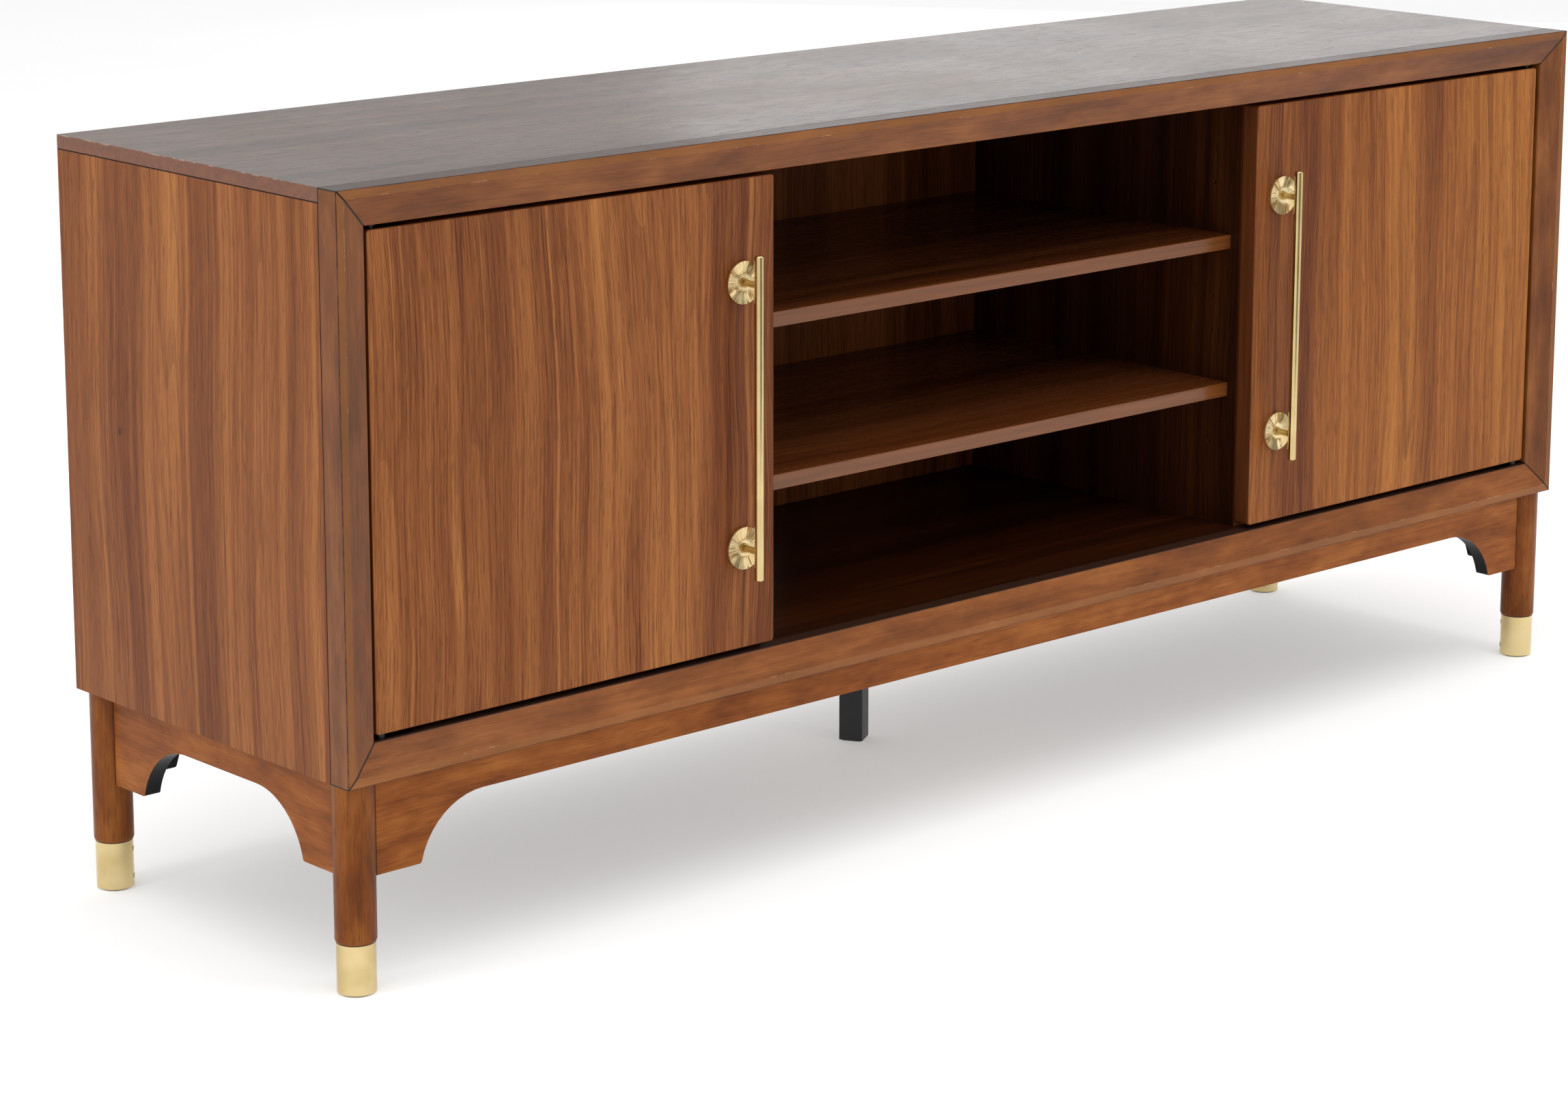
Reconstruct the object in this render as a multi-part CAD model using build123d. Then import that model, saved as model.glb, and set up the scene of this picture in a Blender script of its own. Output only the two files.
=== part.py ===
"""Long low media cabinet: two hinged doors beside an open bay with two shelves.

Millimetres, +Z up, floor at z = 0, front towards -Y. The origin lies on the floor below the middle
of the overall box, which reaches from the door handles to the back panels.
"""

from build123d import *
import os
from math import cos, radians, sqrt

# ---- Overall sizes -------------------------------------------------------------------------------
CABINET_WIDTH = 1778.0
CABINET_DEPTH = 457.2
CABINET_HEIGHT = 762.0
BODY_CLEARANCE = 205.2          # floor to the underside of the body

# ---- Boards --------------------------------------------------------------------------------------
TOP_THICKNESS = 14.0
SIDE_THICKNESS = 18.0
DIVIDER_THICKNESS = 18.0
BOTTOM_THICKNESS = 18.0
BACK_THICKNESS = 6.0
BACK_LAP = 10.0                 # rebate that the back panels lie in
BACK_PLAY = 1.0                 # play round each back panel
CENTRE_BAY_WIDTH = 712.0
SEAM_CHAMFER = 0.6              # V groove where two boards meet flush
BATTEN_WIDTH = 50.0
CENTRE_BATTEN_WIDTH = 110.0
CABLE_HOLE_DIAMETER = 54.0
CABLE_HOLE_HEIGHT = 70.0        # above the floor of each bay
GROMMET_WALL = 3.0
GROMMET_FLANGE = 5.0
GROMMET_FLANGE_THICKNESS = 1.6

# ---- Mitred front frame --------------------------------------------------------------------------
FRAME_FACE = 36.9
FRAME_DEPTH = 27.7
FRAME_FLAT = 8.5                # flat strip along the outer edge, before the sloped face
FRAME_RECESS = 9.5              # how far the inner edge lies behind the front
FRAME_INNER_ROUND = 1.6
FRAME_OUTER_ROUND = 0.8

# ---- Doors ---------------------------------------------------------------------------------------
DOOR_THICKNESS = 20.4
DOOR_SIDE_GAP = 4.1
DOOR_TOP_GAP = 4.4
DOOR_BOTTOM_GAP = 5.1
DOOR_SETBACK = 1.7              # door face behind the frame's inner edge
DOOR_REST_GAP = 1.5             # door back to the divider's front edge
DOOR_CORNER_ROUND = 3.5
DOOR_ARRIS_ROUND = 1.8

# ---- Door pivots ---------------------------------------------------------------------------------
PIVOT_EDGE_INSET = 10.0         # axis from the door's outer edge
PIVOT_FACE_INSET = 8.0          # axis from the door's face
PIVOT_PIN_DIAMETER = 5.0
PIVOT_PIN_BITE = 8.0            # length in the rail, and in the door
PIVOT_RUNNING = 0.05            # radial play of pin in door plate
PIVOT_WOOD_PLAY = 0.4           # radial play of pin in the door's bore
PIVOT_COLLAR_DIAMETER = 9.0
PIVOT_COLLAR_PLAY = 0.1
PIVOT_TOP_COLLAR = 1.5
PIVOT_PLATE_LENGTH = 44.0
PIVOT_PLATE_WIDTH = 10.0
PIVOT_PLATE_THICKNESS = 2.0
PIVOT_PLATE_TAIL = 7.0          # plate past the axis, towards the outer edge
PIVOT_SCREW_PITCH = 14.0

# ---- Door handles --------------------------------------------------------------------------------
HANDLE_LENGTH = 326.0
HANDLE_BAR_DIAMETER = 9.5
HANDLE_POST_SPACING = 267.5
HANDLE_POST_DIAMETER = 7.0
HANDLE_STANDOFF = 25.0          # bar axis to door face
HANDLE_EDGE_INSET = 42.0        # bar axis to the door's free edge
HANDLE_BAR_SEAT = 3.0           # depth of the post in the bar
HANDLE_BAR_CHAMFER = HANDLE_BAR_DIAMETER / 12
ROSETTE_DIAMETER = 44.0
ROSETTE_RIM = 4.4
ROSETTE_CENTRE = 3.2
ROSETTE_EDGE = 1.1              # bevel round the rim
ROSETTE_BORE_PLAY = 0.1
POST_COLLAR_DIAMETER = 10.5
POST_COLLAR_THICKNESS = 1.6
HANDLE_SCREW_DIAMETER = 4.0
HANDLE_SCREW_BITE = 9.0
HANDLE_SCREW_HEAD = 8.5
HANDLE_SCREW_HEAD_HEIGHT = 2.4

# ---- Door rest: magnets, strikes and bumpers -----------------------------------------------------
MAGNET_DIAMETER = 10.0
MAGNET_LENGTH = 12.0
MAGNET_FROM_END = 70.0          # from the door's top and bottom edges
STRIKE_DIAMETER = 13.0
STRIKE_THICKNESS = 0.9
STRIKE_NAIL_DIAMETER = 3.0
STRIKE_NAIL_LENGTH = 9.0
BUMPER_DIAMETER = 8.0
BUMPER_HEIGHT = 1.2
BUMPER_FROM_END = 18.0

# ---- Shelves -------------------------------------------------------------------------------------
SHELF_THICKNESS = 16.0
SHELF_SETBACK = 13.5            # shelf front behind the dividers' front edges
SHELF_BACK_GAP = 2.0
SHELF_END_PLAY = 0.8
SHELF_EDGE_ROUND = 1.2
LOWER_PIN_RISE = 156.2          # floor of the bay to the pins under each shelf
UPPER_PIN_RISE = 323.4
CUPBOARD_PIN_RISE = 240.0
PIN_DIAMETER = 5.0
PIN_BITE = 7.5
PIN_REACH = 7.5
PIN_PITCH = 64.0
PIN_ROW_INSET = 40.0            # pin rows from the dividers' front and back edges
GROOVE_PLAY = 0.3
GROOVE_END_PLAY = 1.0
GROOVE_RUN_ON = 4.0             # groove past the front pin

# ---- Base: legs, ferrules and aprons -------------------------------------------------------------
LEG_DIAMETER = 40.0
LEG_INSET_SIDE = 22.4           # leg axis from the body's side
LEG_INSET_FRONT = 24.5          # leg axis from the body's front and back
LEG_SHOULDER = 3.0              # height of the bevel above the ferrule
FERRULE_DIAMETER = 37.7
FERRULE_WALL = 1.5
FERRULE_CHAMFER = 0.5
FERRULE_TOP = 50.0
FERRULE_SCREW_INSET = 10.0      # screw axis from each end of the ferrule
FERRULE_SCREW_HEAD = 5.6
FERRULE_SCREW_DIAMETER = 3.0
FERRULE_SCREW_REACH = 11.0
FERRULE_SCREW_PROUD = 0.2
FERRULE_HEAD_THICKNESS = 1.2
GLIDE_THICKNESS = 1.5
GLIDE_MARGIN = 3.0
APRON_THICKNESS = 18.0
APRON_INSET_FRONT = 15.2
APRON_INSET_SIDE = 14.5
APRON_FOOT_HEIGHT = 93.5
APRON_FOOT_LENGTH = 50.4        # from the leg's surface
APRON_RAIL_HEIGHT = 34.5
APRON_ARCH_RADIUS = 76.0
APRON_CORNER_ROUND = 3.0
BLOCK_LEG = 62.0
BLOCK_HEIGHT = 30.0
LEG_BOLT_DIAMETER = 8.0
LEG_BOLT_BITE = 6.0             # past the leg's axis
LEG_BOLT_STUB = 4.0             # past the nut
LEG_BOLT_PLAY = 0.5             # round the bolt, where it passes the ends of the aprons
LEG_NUT_SIZE = 13.0
LEG_NUT_HEIGHT = 6.5
CENTRE_LEG_SIDE = 27.0
CENTRE_LEG_TURN = 31.0
CENTRE_LEG_FROM_FRONT = 306.1
CENTRE_LEG_OFFSET = 28.5
CENTRE_LEG_ROUND = 1.0
CENTRE_BOLT_REACH = 15.0
CENTRE_BOLT_DEPTH = 30.0

# ---- Screws and dowels ---------------------------------------------------------------------------
SCREW_DIAMETER = 3.5
SCREW_HEAD = 7.0
SCREW_HEAD_HEIGHT = 1.8
SCREW_LENGTH = 16.0
BACK_SCREW_PLACES = (0.12, 0.5, 0.88)       # along each panel's top and bottom edge
UPRIGHT_SCREW_PLACES = (0.2, 0.5, 0.8)      # up the sides and dividers
PLATE_SCREW_DIAMETER = 2.5
PLATE_SCREW_HEAD = 5.0
PLATE_SCREW_HEAD_HEIGHT = 1.2
PLATE_SCREW_LENGTH = 12.0
DOWEL_DIAMETER = 8.0
DOWEL_TOP_BITE = 9.0
DOWEL_BOTTOM_BITE = 14.0
DOWEL_SIDE_BITE = 10.0
DOWEL_PANEL_BITE = 18.0
DOWEL_INSET = 60.0

# ---- Planes worked out from the sizes ------------------------------------------------------------
door_face_depth = FRAME_RECESS + DOOR_SETBACK
handle_proud = HANDLE_STANDOFF + HANDLE_BAR_DIAMETER / 2 - door_face_depth
front = (handle_proud - CABINET_DEPTH) / 2
back = front + CABINET_DEPTH
half_width = CABINET_WIDTH / 2
frame_back = front + FRAME_DEPTH
side_inner = half_width - SIDE_THICKNESS
frame_inner_x = half_width - FRAME_FACE
frame_inner_top = CABINET_HEIGHT - FRAME_FACE
bay_floor = BODY_CLEARANCE + FRAME_FACE
bay_ceiling = CABINET_HEIGHT - TOP_THICKNESS
bottom_underside = bay_floor - BOTTOM_THICKNESS
panel_back = back - BACK_THICKNESS
door_face = front + door_face_depth
door_back = door_face + DOOR_THICKNESS
door_outer = frame_inner_x - DOOR_SIDE_GAP
door_inner = CENTRE_BAY_WIDTH / 2
door_low = bay_floor + DOOR_BOTTOM_GAP
door_high = frame_inner_top - DOOR_TOP_GAP
door_middle = (door_low + door_high) / 2
divider_inner = CENTRE_BAY_WIDTH / 2
divider_outer = divider_inner + DIVIDER_THICKNESS
divider_middle = divider_inner + DIVIDER_THICKNESS / 2
divider_front = door_back + DOOR_REST_GAP
pivot_x = door_outer - PIVOT_EDGE_INSET
pivot_y = door_face + PIVOT_FACE_INSET
handle_x = door_inner + HANDLE_EDGE_INSET
handle_y = door_face - HANDLE_STANDOFF
shelf_front = divider_front + SHELF_SETBACK
shelf_back = panel_back - SHELF_BACK_GAP
front_pin_row = divider_front + PIN_ROW_INSET
back_pin_row = panel_back - PIN_ROW_INSET
lower_pins = bay_floor + LOWER_PIN_RISE
upper_pins = bay_floor + UPPER_PIN_RISE
cupboard_pins = bay_floor + CUPBOARD_PIN_RISE
leg_x = half_width - LEG_INSET_SIDE
leg_front_y = front + LEG_INSET_FRONT
leg_back_y = back - LEG_INSET_FRONT
leg_radius = LEG_DIAMETER / 2
ferrule_radius = FERRULE_DIAMETER / 2
tenon_radius = ferrule_radius - FERRULE_WALL
centre_leg_y = front + CENTRE_LEG_FROM_FRONT
middle_y = (front + back) / 2
DIAGONAL = cos(radians(45))

SIDES = (("left", -1), ("right", 1))


# ---- Small builders ------------------------------------------------------------------------------
def slab(x, y, z):
    """Box between two values on each axis, given in any order."""
    low = [min(pair) for pair in (x, y, z)]
    size = [abs(pair[1] - pair[0]) for pair in (x, y, z)]
    centre = [start + length / 2 for start, length in zip(low, size)]
    return Pos(*centre) * Box(*size)


def rod_x(y, z, x0, x1, diameter):
    return Pos((x0 + x1) / 2, y, z) * Rot(0, 90, 0) * Cylinder(diameter / 2, abs(x1 - x0))


def rod_y(x, z, y0, y1, diameter):
    return Pos(x, (y0 + y1) / 2, z) * Rot(90, 0, 0) * Cylinder(diameter / 2, abs(y1 - y0))


def rod_z(x, y, z0, z1, diameter):
    return Pos(x, y, (z0 + z1) / 2) * Cylinder(diameter / 2, abs(z1 - z0))


def cut(shape, tools):
    """Shape less every tool, one after another."""
    for tool in tools:
        shape = shape - tool
    return shape


def cut_each(shapes, tools):
    return [cut(shape, tools) for shape in shapes]


def edges_at(shape, axis, **places):
    """Edges along an axis whose middle lies at the given x, y or z, on either side of zero."""
    found = []
    for edge in shape.edges().filter_by(axis):
        middle = edge.center()
        here = {"x": middle.X, "y": middle.Y, "z": middle.Z}
        if all(abs(abs(here[name]) - abs(value)) < 1e-3 for name, value in places.items()):
            found.append(edge)
    return found


def save(name, shapes):
    """Write one node, made of one shape or of a list of separate ones."""
    group = shapes if isinstance(shapes, list) else [shapes]
    solids = [solid for shape in group for solid in shape.solids()]
    export_step(Compound(solids), f"parts/{name}.step")


# ---- Front frame ---------------------------------------------------------------------------------
def frame_profile():
    """Section of a frame member: u runs in from the outer edge, v runs back from the front."""
    outline = Polyline(
        (0, 0),
        (FRAME_FLAT, 0),
        (FRAME_FACE, FRAME_RECESS),
        (FRAME_FACE, FRAME_DEPTH),
        (SEAM_CHAMFER, FRAME_DEPTH),
        (0, FRAME_DEPTH - SEAM_CHAMFER),
        close=True,
    )
    section = make_face(outline)
    inner = section.vertices().sort_by_distance((FRAME_FACE, FRAME_RECESS))[:1]
    section = fillet(inner, FRAME_INNER_ROUND)
    outer = section.vertices().sort_by_distance((0, 0))[:1]
    return fillet(outer, FRAME_OUTER_ROUND)


def frame_member(length):
    """Mitred member along +X, its outer edge on the XY plane's y = 0 line, front towards -Z."""
    bar = extrude(Plane.YZ * frame_profile(), length / 2, both=True)
    trapezium = make_face(
        Polyline(
            (-length / 2, 0),
            (length / 2, 0),
            (length / 2 - FRAME_FACE, FRAME_FACE),
            (-length / 2 + FRAME_FACE, FRAME_FACE),
            close=True,
        )
    )
    return bar & extrude(trapezium, FRAME_DEPTH)


def frame_members():
    """The four mitred members, each turned so that its sloped face falls towards the opening."""
    body_height = CABINET_HEIGHT - BODY_CLEARANCE
    middle = (CABINET_HEIGHT + BODY_CLEARANCE) / 2
    rail = frame_member(CABINET_WIDTH)
    stile = frame_member(body_height)
    return {
        "frame_top_rail": Pos(0, front, CABINET_HEIGHT) * Rot(-90, 0, 0) * rail,
        "frame_bottom_rail": Pos(0, front, BODY_CLEARANCE) * Rot(0, 180, 0) * Rot(-90, 0, 0) * rail,
        "frame_left_stile": Pos(-half_width, front, middle) * Rot(0, -90, 0) * Rot(-90, 0, 0) * stile,
        "frame_right_stile": Pos(half_width, front, middle) * Rot(0, 90, 0) * Rot(-90, 0, 0) * stile,
    }


# ---- Carcass -------------------------------------------------------------------------------------
def dowel_rows():
    """Y places of the dowels along each joint of the carcass."""
    start = divider_front + DOWEL_INSET
    end = panel_back - DOWEL_INSET
    return [start, (start + end) / 2, end]


def dowels():
    """Dowels from the uprights into the top, up into the dividers and across into the sides."""
    pegs = []
    for _, side in SIDES:
        for y in dowel_rows():
            for x in (half_width - SIDE_THICKNESS / 2, divider_middle):
                pegs.append(rod_z(side * x, y, bay_ceiling - DOWEL_PANEL_BITE,
                                  bay_ceiling + DOWEL_TOP_BITE, DOWEL_DIAMETER))
            pegs.append(rod_z(side * divider_middle, y, bay_floor - DOWEL_BOTTOM_BITE,
                              bay_floor + DOWEL_PANEL_BITE, DOWEL_DIAMETER))
            pegs.append(rod_x(y, bay_floor - BOTTOM_THICKNESS / 2,
                              side * (side_inner - DOWEL_PANEL_BITE),
                              side * (side_inner + DOWEL_SIDE_BITE), DOWEL_DIAMETER))
    return pegs


def top_board(pegs):
    board = slab((-half_width, half_width), (frame_back, back), (bay_ceiling, CABINET_HEIGHT))
    seam = edges_at(board, Axis.X, y=frame_back, z=CABINET_HEIGHT)
    under = edges_at(board, Axis.Y, x=half_width, z=bay_ceiling)
    board = chamfer(seam + under, SEAM_CHAMFER)
    rebate_x = side_inner + BACK_LAP
    rebate = slab((-rebate_x, rebate_x), (panel_back, back), (bay_ceiling, bay_ceiling + BACK_LAP))
    return cut(board - rebate, pegs)


def side_panel(side, pegs, pins):
    x = (side * side_inner, side * half_width)
    panel = slab(x, (frame_back, back), (BODY_CLEARANCE, bay_ceiling))
    panel = chamfer(edges_at(panel, Axis.Z, x=half_width, y=frame_back), SEAM_CHAMFER)
    rebate = slab((side * side_inner, side * (side_inner + BACK_LAP)), (panel_back, back),
                  (bottom_underside, bay_ceiling))
    return cut(panel - rebate, pegs + pins)


def bottom_board(pegs):
    board = slab((-side_inner, side_inner), (frame_back, panel_back), (bottom_underside, bay_floor))
    return cut(board, pegs)


def divider(side, tools):
    panel = slab((side * divider_inner, side * divider_outer), (divider_front, panel_back),
                 (bay_floor, bay_ceiling))
    return cut(panel, tools)


def bottom_battens():
    """Packing under the bottom board, flush with the body's underside, that carries the base."""
    z = (BODY_CLEARANCE, bottom_underside)
    front_inner = frame_back + BATTEN_WIDTH
    back_inner = back - BATTEN_WIDTH
    battens = [
        slab((-side_inner, side_inner), (frame_back, front_inner), z),
        slab((-side_inner, side_inner), (back_inner, back), z),
    ]
    for low, high in (
        (-side_inner, -side_inner + BATTEN_WIDTH),
        (-CENTRE_BATTEN_WIDTH / 2, CENTRE_BATTEN_WIDTH / 2),
        (side_inner - BATTEN_WIDTH, side_inner),
    ):
        battens.append(slab((low, high), (front_inner, back_inner), z))
    return battens


# ---- Back panels and cable holes -----------------------------------------------------------------
def back_spans():
    """Low and high x of the three back panels, which meet behind the dividers."""
    outer = side_inner + BACK_LAP - BACK_PLAY
    meet = divider_middle
    half_play = BACK_PLAY / 2
    return {
        "left": (-outer, -meet - half_play),
        "centre": (-meet + half_play, meet - half_play),
        "right": (meet + half_play, outer),
    }


def cable_hole_x():
    middle = (divider_outer + side_inner) / 2
    return {"left": -middle, "centre": 0.0, "right": middle}


def back_panel(bay, screws):
    low, high = back_spans()[bay]
    panel = slab((low, high), (panel_back, back),
                 (bottom_underside + BACK_PLAY, bay_ceiling + BACK_LAP - BACK_PLAY))
    hole_z = bay_floor + CABLE_HOLE_HEIGHT
    hole = rod_y(cable_hole_x()[bay], hole_z, panel_back, back, CABLE_HOLE_DIAMETER)
    return cut(panel - hole, screws)


def cable_grommet(x):
    """Ring with a flange on the back face, lining one cable hole."""
    z = bay_floor + CABLE_HOLE_HEIGHT
    outer = CABLE_HOLE_DIAMETER
    ring = rod_y(x, z, panel_back, back, outer)
    flange = rod_y(x, z, panel_back - GROMMET_FLANGE_THICKNESS, panel_back, outer + 2 * GROMMET_FLANGE)
    bore = rod_y(x, z, panel_back - GROMMET_FLANGE_THICKNESS, back, outer - 2 * GROMMET_WALL)
    return ring + flange - bore


def back_screws():
    """Pan-head screws round the back panels, into the sides, dividers, top and bottom."""
    places = []
    low_z = bottom_underside + BOTTOM_THICKNESS / 2
    side_inset = (BACK_LAP - BACK_PLAY) / 2
    divider_inset = (DIVIDER_THICKNESS - BACK_PLAY) / 4
    high_z = bay_ceiling + side_inset
    for low, high in back_spans().values():
        for share in BACK_SCREW_PLACES:
            x = low + share * (high - low)
            places += [(x, low_z), (x, high_z)]
    upright_z = [low_z + share * (high_z - low_z) for share in UPRIGHT_SCREW_PLACES]
    for _, side in SIDES:
        for z in upright_z:
            places.append((side * (side_inner + side_inset), z))
            places.append((side * (divider_inner + divider_inset), z))
            places.append((side * (divider_outer - divider_inset), z))
    screws = []
    for x, z in places:
        head = rod_y(x, z, back - SCREW_HEAD_HEIGHT, back, SCREW_HEAD)
        shank = rod_y(x, z, back - SCREW_LENGTH, back - SCREW_HEAD_HEIGHT, SCREW_DIAMETER)
        screws.append(head + shank)
    return screws


# ---- Shelves and their pins ----------------------------------------------------------------------
def pin_holes(side, face_x, heights, into):
    """Bores for the shelf pins in one upright face: three heights for each shelf, two rows."""
    bores = []
    for height in heights:
        for step in (-1, 0, 1):
            for y in (front_pin_row, back_pin_row):
                bores.append(rod_x(y, height + step * PIN_PITCH, side * face_x,
                                   side * (face_x + into * PIN_BITE), PIN_DIAMETER))
    return bores


def pins_at(side, face_x, height, into):
    """The two pins that hold one end of a shelf."""
    return [
        rod_x(y, height, side * (face_x + into * PIN_BITE), side * (face_x - into * PIN_REACH),
              PIN_DIAMETER)
        for y in (front_pin_row, back_pin_row)
    ]


def shelf(low_x, high_x, pin_height):
    """Shelf whose ends have a stopped groove that slides over the pins from the front."""
    middle = pin_height - GROOVE_PLAY / 2
    half = SHELF_THICKNESS / 2
    x = (low_x + SHELF_END_PLAY, high_x - SHELF_END_PLAY)
    board = slab(x, (shelf_front, shelf_back), (middle - half, middle + half))
    board = fillet(board.edges().filter_by(Axis.X).group_by(Axis.Y)[0], SHELF_EDGE_ROUND)
    groove_half = (PIN_DIAMETER + GROOVE_PLAY) / 2
    groove_depth = PIN_REACH + GROOVE_END_PLAY
    y = (front_pin_row - GROOVE_RUN_ON, shelf_back)
    z = (middle - groove_half, middle + groove_half)
    grooves = [
        slab((low_x, low_x + groove_depth), y, z),
        slab((high_x - groove_depth, high_x), y, z),
    ]
    return cut(board, grooves)


# ---- Doors ---------------------------------------------------------------------------------------
def door_panel(side, tools):
    panel = slab((side * door_inner, side * door_outer), (door_face, door_back), (door_low, door_high))
    panel = fillet(panel.edges().filter_by(Axis.Y), DOOR_CORNER_ROUND)
    panel = fillet(panel.faces().sort_by(Axis.Y)[0].edges(), DOOR_ARRIS_ROUND)
    return cut(panel, tools)


def pivot_plate(side, z0, z1):
    inner = pivot_x + PIVOT_PLATE_TAIL - PIVOT_PLATE_LENGTH
    y = (pivot_y - PIVOT_PLATE_WIDTH / 2, pivot_y + PIVOT_PLATE_WIDTH / 2)
    return slab((side * inner, side * (pivot_x + PIVOT_PLATE_TAIL)), y, (z0, z1))


def plate_screw(side, step, z, way):
    """Small screw through a pivot plate; way is the direction, up or down, that it is driven."""
    x = side * (pivot_x - step * PIVOT_SCREW_PITCH)
    head = rod_z(x, pivot_y, z, z + way * PLATE_SCREW_HEAD_HEIGHT, PLATE_SCREW_HEAD)
    shank = rod_z(x, pivot_y, z + way * PLATE_SCREW_HEAD_HEIGHT, z + way * PLATE_SCREW_LENGTH,
                  PLATE_SCREW_DIAMETER)
    return head + shank


def frame_pivots(side):
    """Plates, screws and collared pins of one side, set in the top and bottom rails."""
    low_plate = pivot_plate(side, bay_floor - PIVOT_PLATE_THICKNESS, bay_floor)
    high_plate = pivot_plate(side, frame_inner_top, frame_inner_top + PIVOT_PLATE_THICKNESS)
    screws = [plate_screw(side, step, bay_floor, -1) for step in (1, 2)]
    screws += [plate_screw(side, step, frame_inner_top, 1) for step in (1, 2)]
    x = side * pivot_x
    low_collar = door_low - PIVOT_COLLAR_PLAY
    low_pin = rod_z(x, pivot_y, bay_floor - PIVOT_PIN_BITE, door_low + PIVOT_PIN_BITE,
                    PIVOT_PIN_DIAMETER)
    low_pin += rod_z(x, pivot_y, bay_floor, low_collar, PIVOT_COLLAR_DIAMETER)
    high_pin = rod_z(x, pivot_y, door_high - PIVOT_PIN_BITE, frame_inner_top + PIVOT_PIN_BITE,
                     PIVOT_PIN_DIAMETER)
    high_pin += rod_z(x, pivot_y, frame_inner_top - PIVOT_TOP_COLLAR, frame_inner_top,
                      PIVOT_COLLAR_DIAMETER)
    pins = [low_pin, high_pin]
    return cut_each([low_plate, high_plate], screws + pins), screws, pins


def door_pivots(side):
    """Plates and screws in the door's own top and bottom edges, with bores for the pins."""
    plates = [
        pivot_plate(side, door_low, door_low + PIVOT_PLATE_THICKNESS),
        pivot_plate(side, door_high - PIVOT_PLATE_THICKNESS, door_high),
    ]
    screws = [plate_screw(side, step, door_low, 1) for step in (1, 2)]
    screws += [plate_screw(side, step, door_high, -1) for step in (1, 2)]
    x = side * pivot_x
    running = rod_z(x, pivot_y, door_low, door_high, PIVOT_PIN_DIAMETER + 2 * PIVOT_RUNNING)
    depth = PIVOT_PIN_BITE + PIVOT_COLLAR_PLAY
    wood_bore = PIVOT_PIN_DIAMETER + 2 * PIVOT_WOOD_PLAY
    bores = [
        rod_z(x, pivot_y, door_low, door_low + depth, wood_bore),
        rod_z(x, pivot_y, door_high - depth, door_high, wood_bore),
    ]
    return cut_each(plates, screws + [running]), plates, screws, bores


def handle_heights():
    return (door_middle - HANDLE_POST_SPACING / 2, door_middle + HANDLE_POST_SPACING / 2)


def handle_post(x, z, screw):
    """Post from the door's face into the bar, with a collar that clamps the rosette."""
    bar_back = handle_y + HANDLE_BAR_DIAMETER / 2
    post = rod_y(x, z, bar_back - HANDLE_BAR_SEAT, door_face, HANDLE_POST_DIAMETER)
    collar_back = door_face - ROSETTE_CENTRE
    post += rod_y(x, z, collar_back - POST_COLLAR_THICKNESS, collar_back, POST_COLLAR_DIAMETER)
    return post - screw


def handle_rosette(x, z):
    """Dished disc behind the collar; its face falls evenly from the rim to the centre."""
    bore = HANDLE_POST_DIAMETER / 2 + ROSETTE_BORE_PLAY
    seat = POST_COLLAR_DIAMETER / 2 + ROSETTE_BORE_PLAY
    radius = ROSETTE_DIAMETER / 2
    outline = Polyline(
        (bore, 0),
        (radius, 0),
        (radius, ROSETTE_RIM - ROSETTE_EDGE),
        (radius - ROSETTE_EDGE, ROSETTE_RIM),
        (seat, ROSETTE_CENTRE),
        (bore, ROSETTE_CENTRE),
        close=True,
    )
    disc = revolve(Plane.XZ * make_face(outline), Axis.Z)
    return Pos(x, door_face, z) * Rot(90, 0, 0) * disc


def handle_screw(x, z):
    """Machine screw from the door's back into the post."""
    shank = rod_y(x, z, door_face - HANDLE_SCREW_BITE, door_back, HANDLE_SCREW_DIAMETER)
    head = rod_y(x, z, door_back, door_back + HANDLE_SCREW_HEAD_HEIGHT, HANDLE_SCREW_HEAD)
    return shank + head


def handle(side):
    """Bar, posts, rosettes and screws of one door."""
    x = side * handle_x
    bar_low = door_middle - HANDLE_LENGTH / 2
    bar = rod_z(x, handle_y, bar_low, bar_low + HANDLE_LENGTH, HANDLE_BAR_DIAMETER)
    bar = chamfer(bar.edges().filter_by(GeomType.CIRCLE), HANDLE_BAR_CHAMFER)
    screws = [handle_screw(x, z) for z in handle_heights()]
    posts = [handle_post(x, z, screw) for z, screw in zip(handle_heights(), screws)]
    rosettes = [handle_rosette(x, z) for z in handle_heights()]
    return cut(bar, posts), posts, rosettes, screws


def magnet_heights():
    return (door_low + MAGNET_FROM_END, door_high - MAGNET_FROM_END)


def magnets(side):
    """Round magnets let into the divider's front edge."""
    x = side * divider_middle
    return [
        rod_y(x, z, divider_front, divider_front + MAGNET_LENGTH, MAGNET_DIAMETER)
        for z in magnet_heights()
    ]


def strikes(side):
    """Steel discs nailed to the door's back, opposite the magnets."""
    x = side * divider_middle
    found = []
    for z in magnet_heights():
        disc = rod_y(x, z, door_back, door_back + STRIKE_THICKNESS, STRIKE_DIAMETER)
        nail = rod_y(x, z, door_back - STRIKE_NAIL_LENGTH, door_back, STRIKE_NAIL_DIAMETER)
        found.append(disc + nail)
    return found


def bumpers(side):
    """Soft pads on the divider's front edge, where the door's free corners come to rest."""
    x = side * divider_middle
    return [
        rod_y(x, z, divider_front - BUMPER_HEIGHT, divider_front, BUMPER_DIAMETER)
        for z in (door_low + BUMPER_FROM_END, door_high - BUMPER_FROM_END)
    ]


# ---- Base ----------------------------------------------------------------------------------------
def leg_places():
    return {
        "front_left": (-leg_x, leg_front_y),
        "front_right": (leg_x, leg_front_y),
        "back_left": (-leg_x, leg_back_y),
        "back_right": (leg_x, leg_back_y),
    }


def inward(x, y):
    """Unit steps from a leg towards the middle of the cabinet, along the diagonal."""
    return (-DIAGONAL if x > 0 else DIAGONAL, -DIAGONAL if y > middle_y else DIAGONAL)


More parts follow.
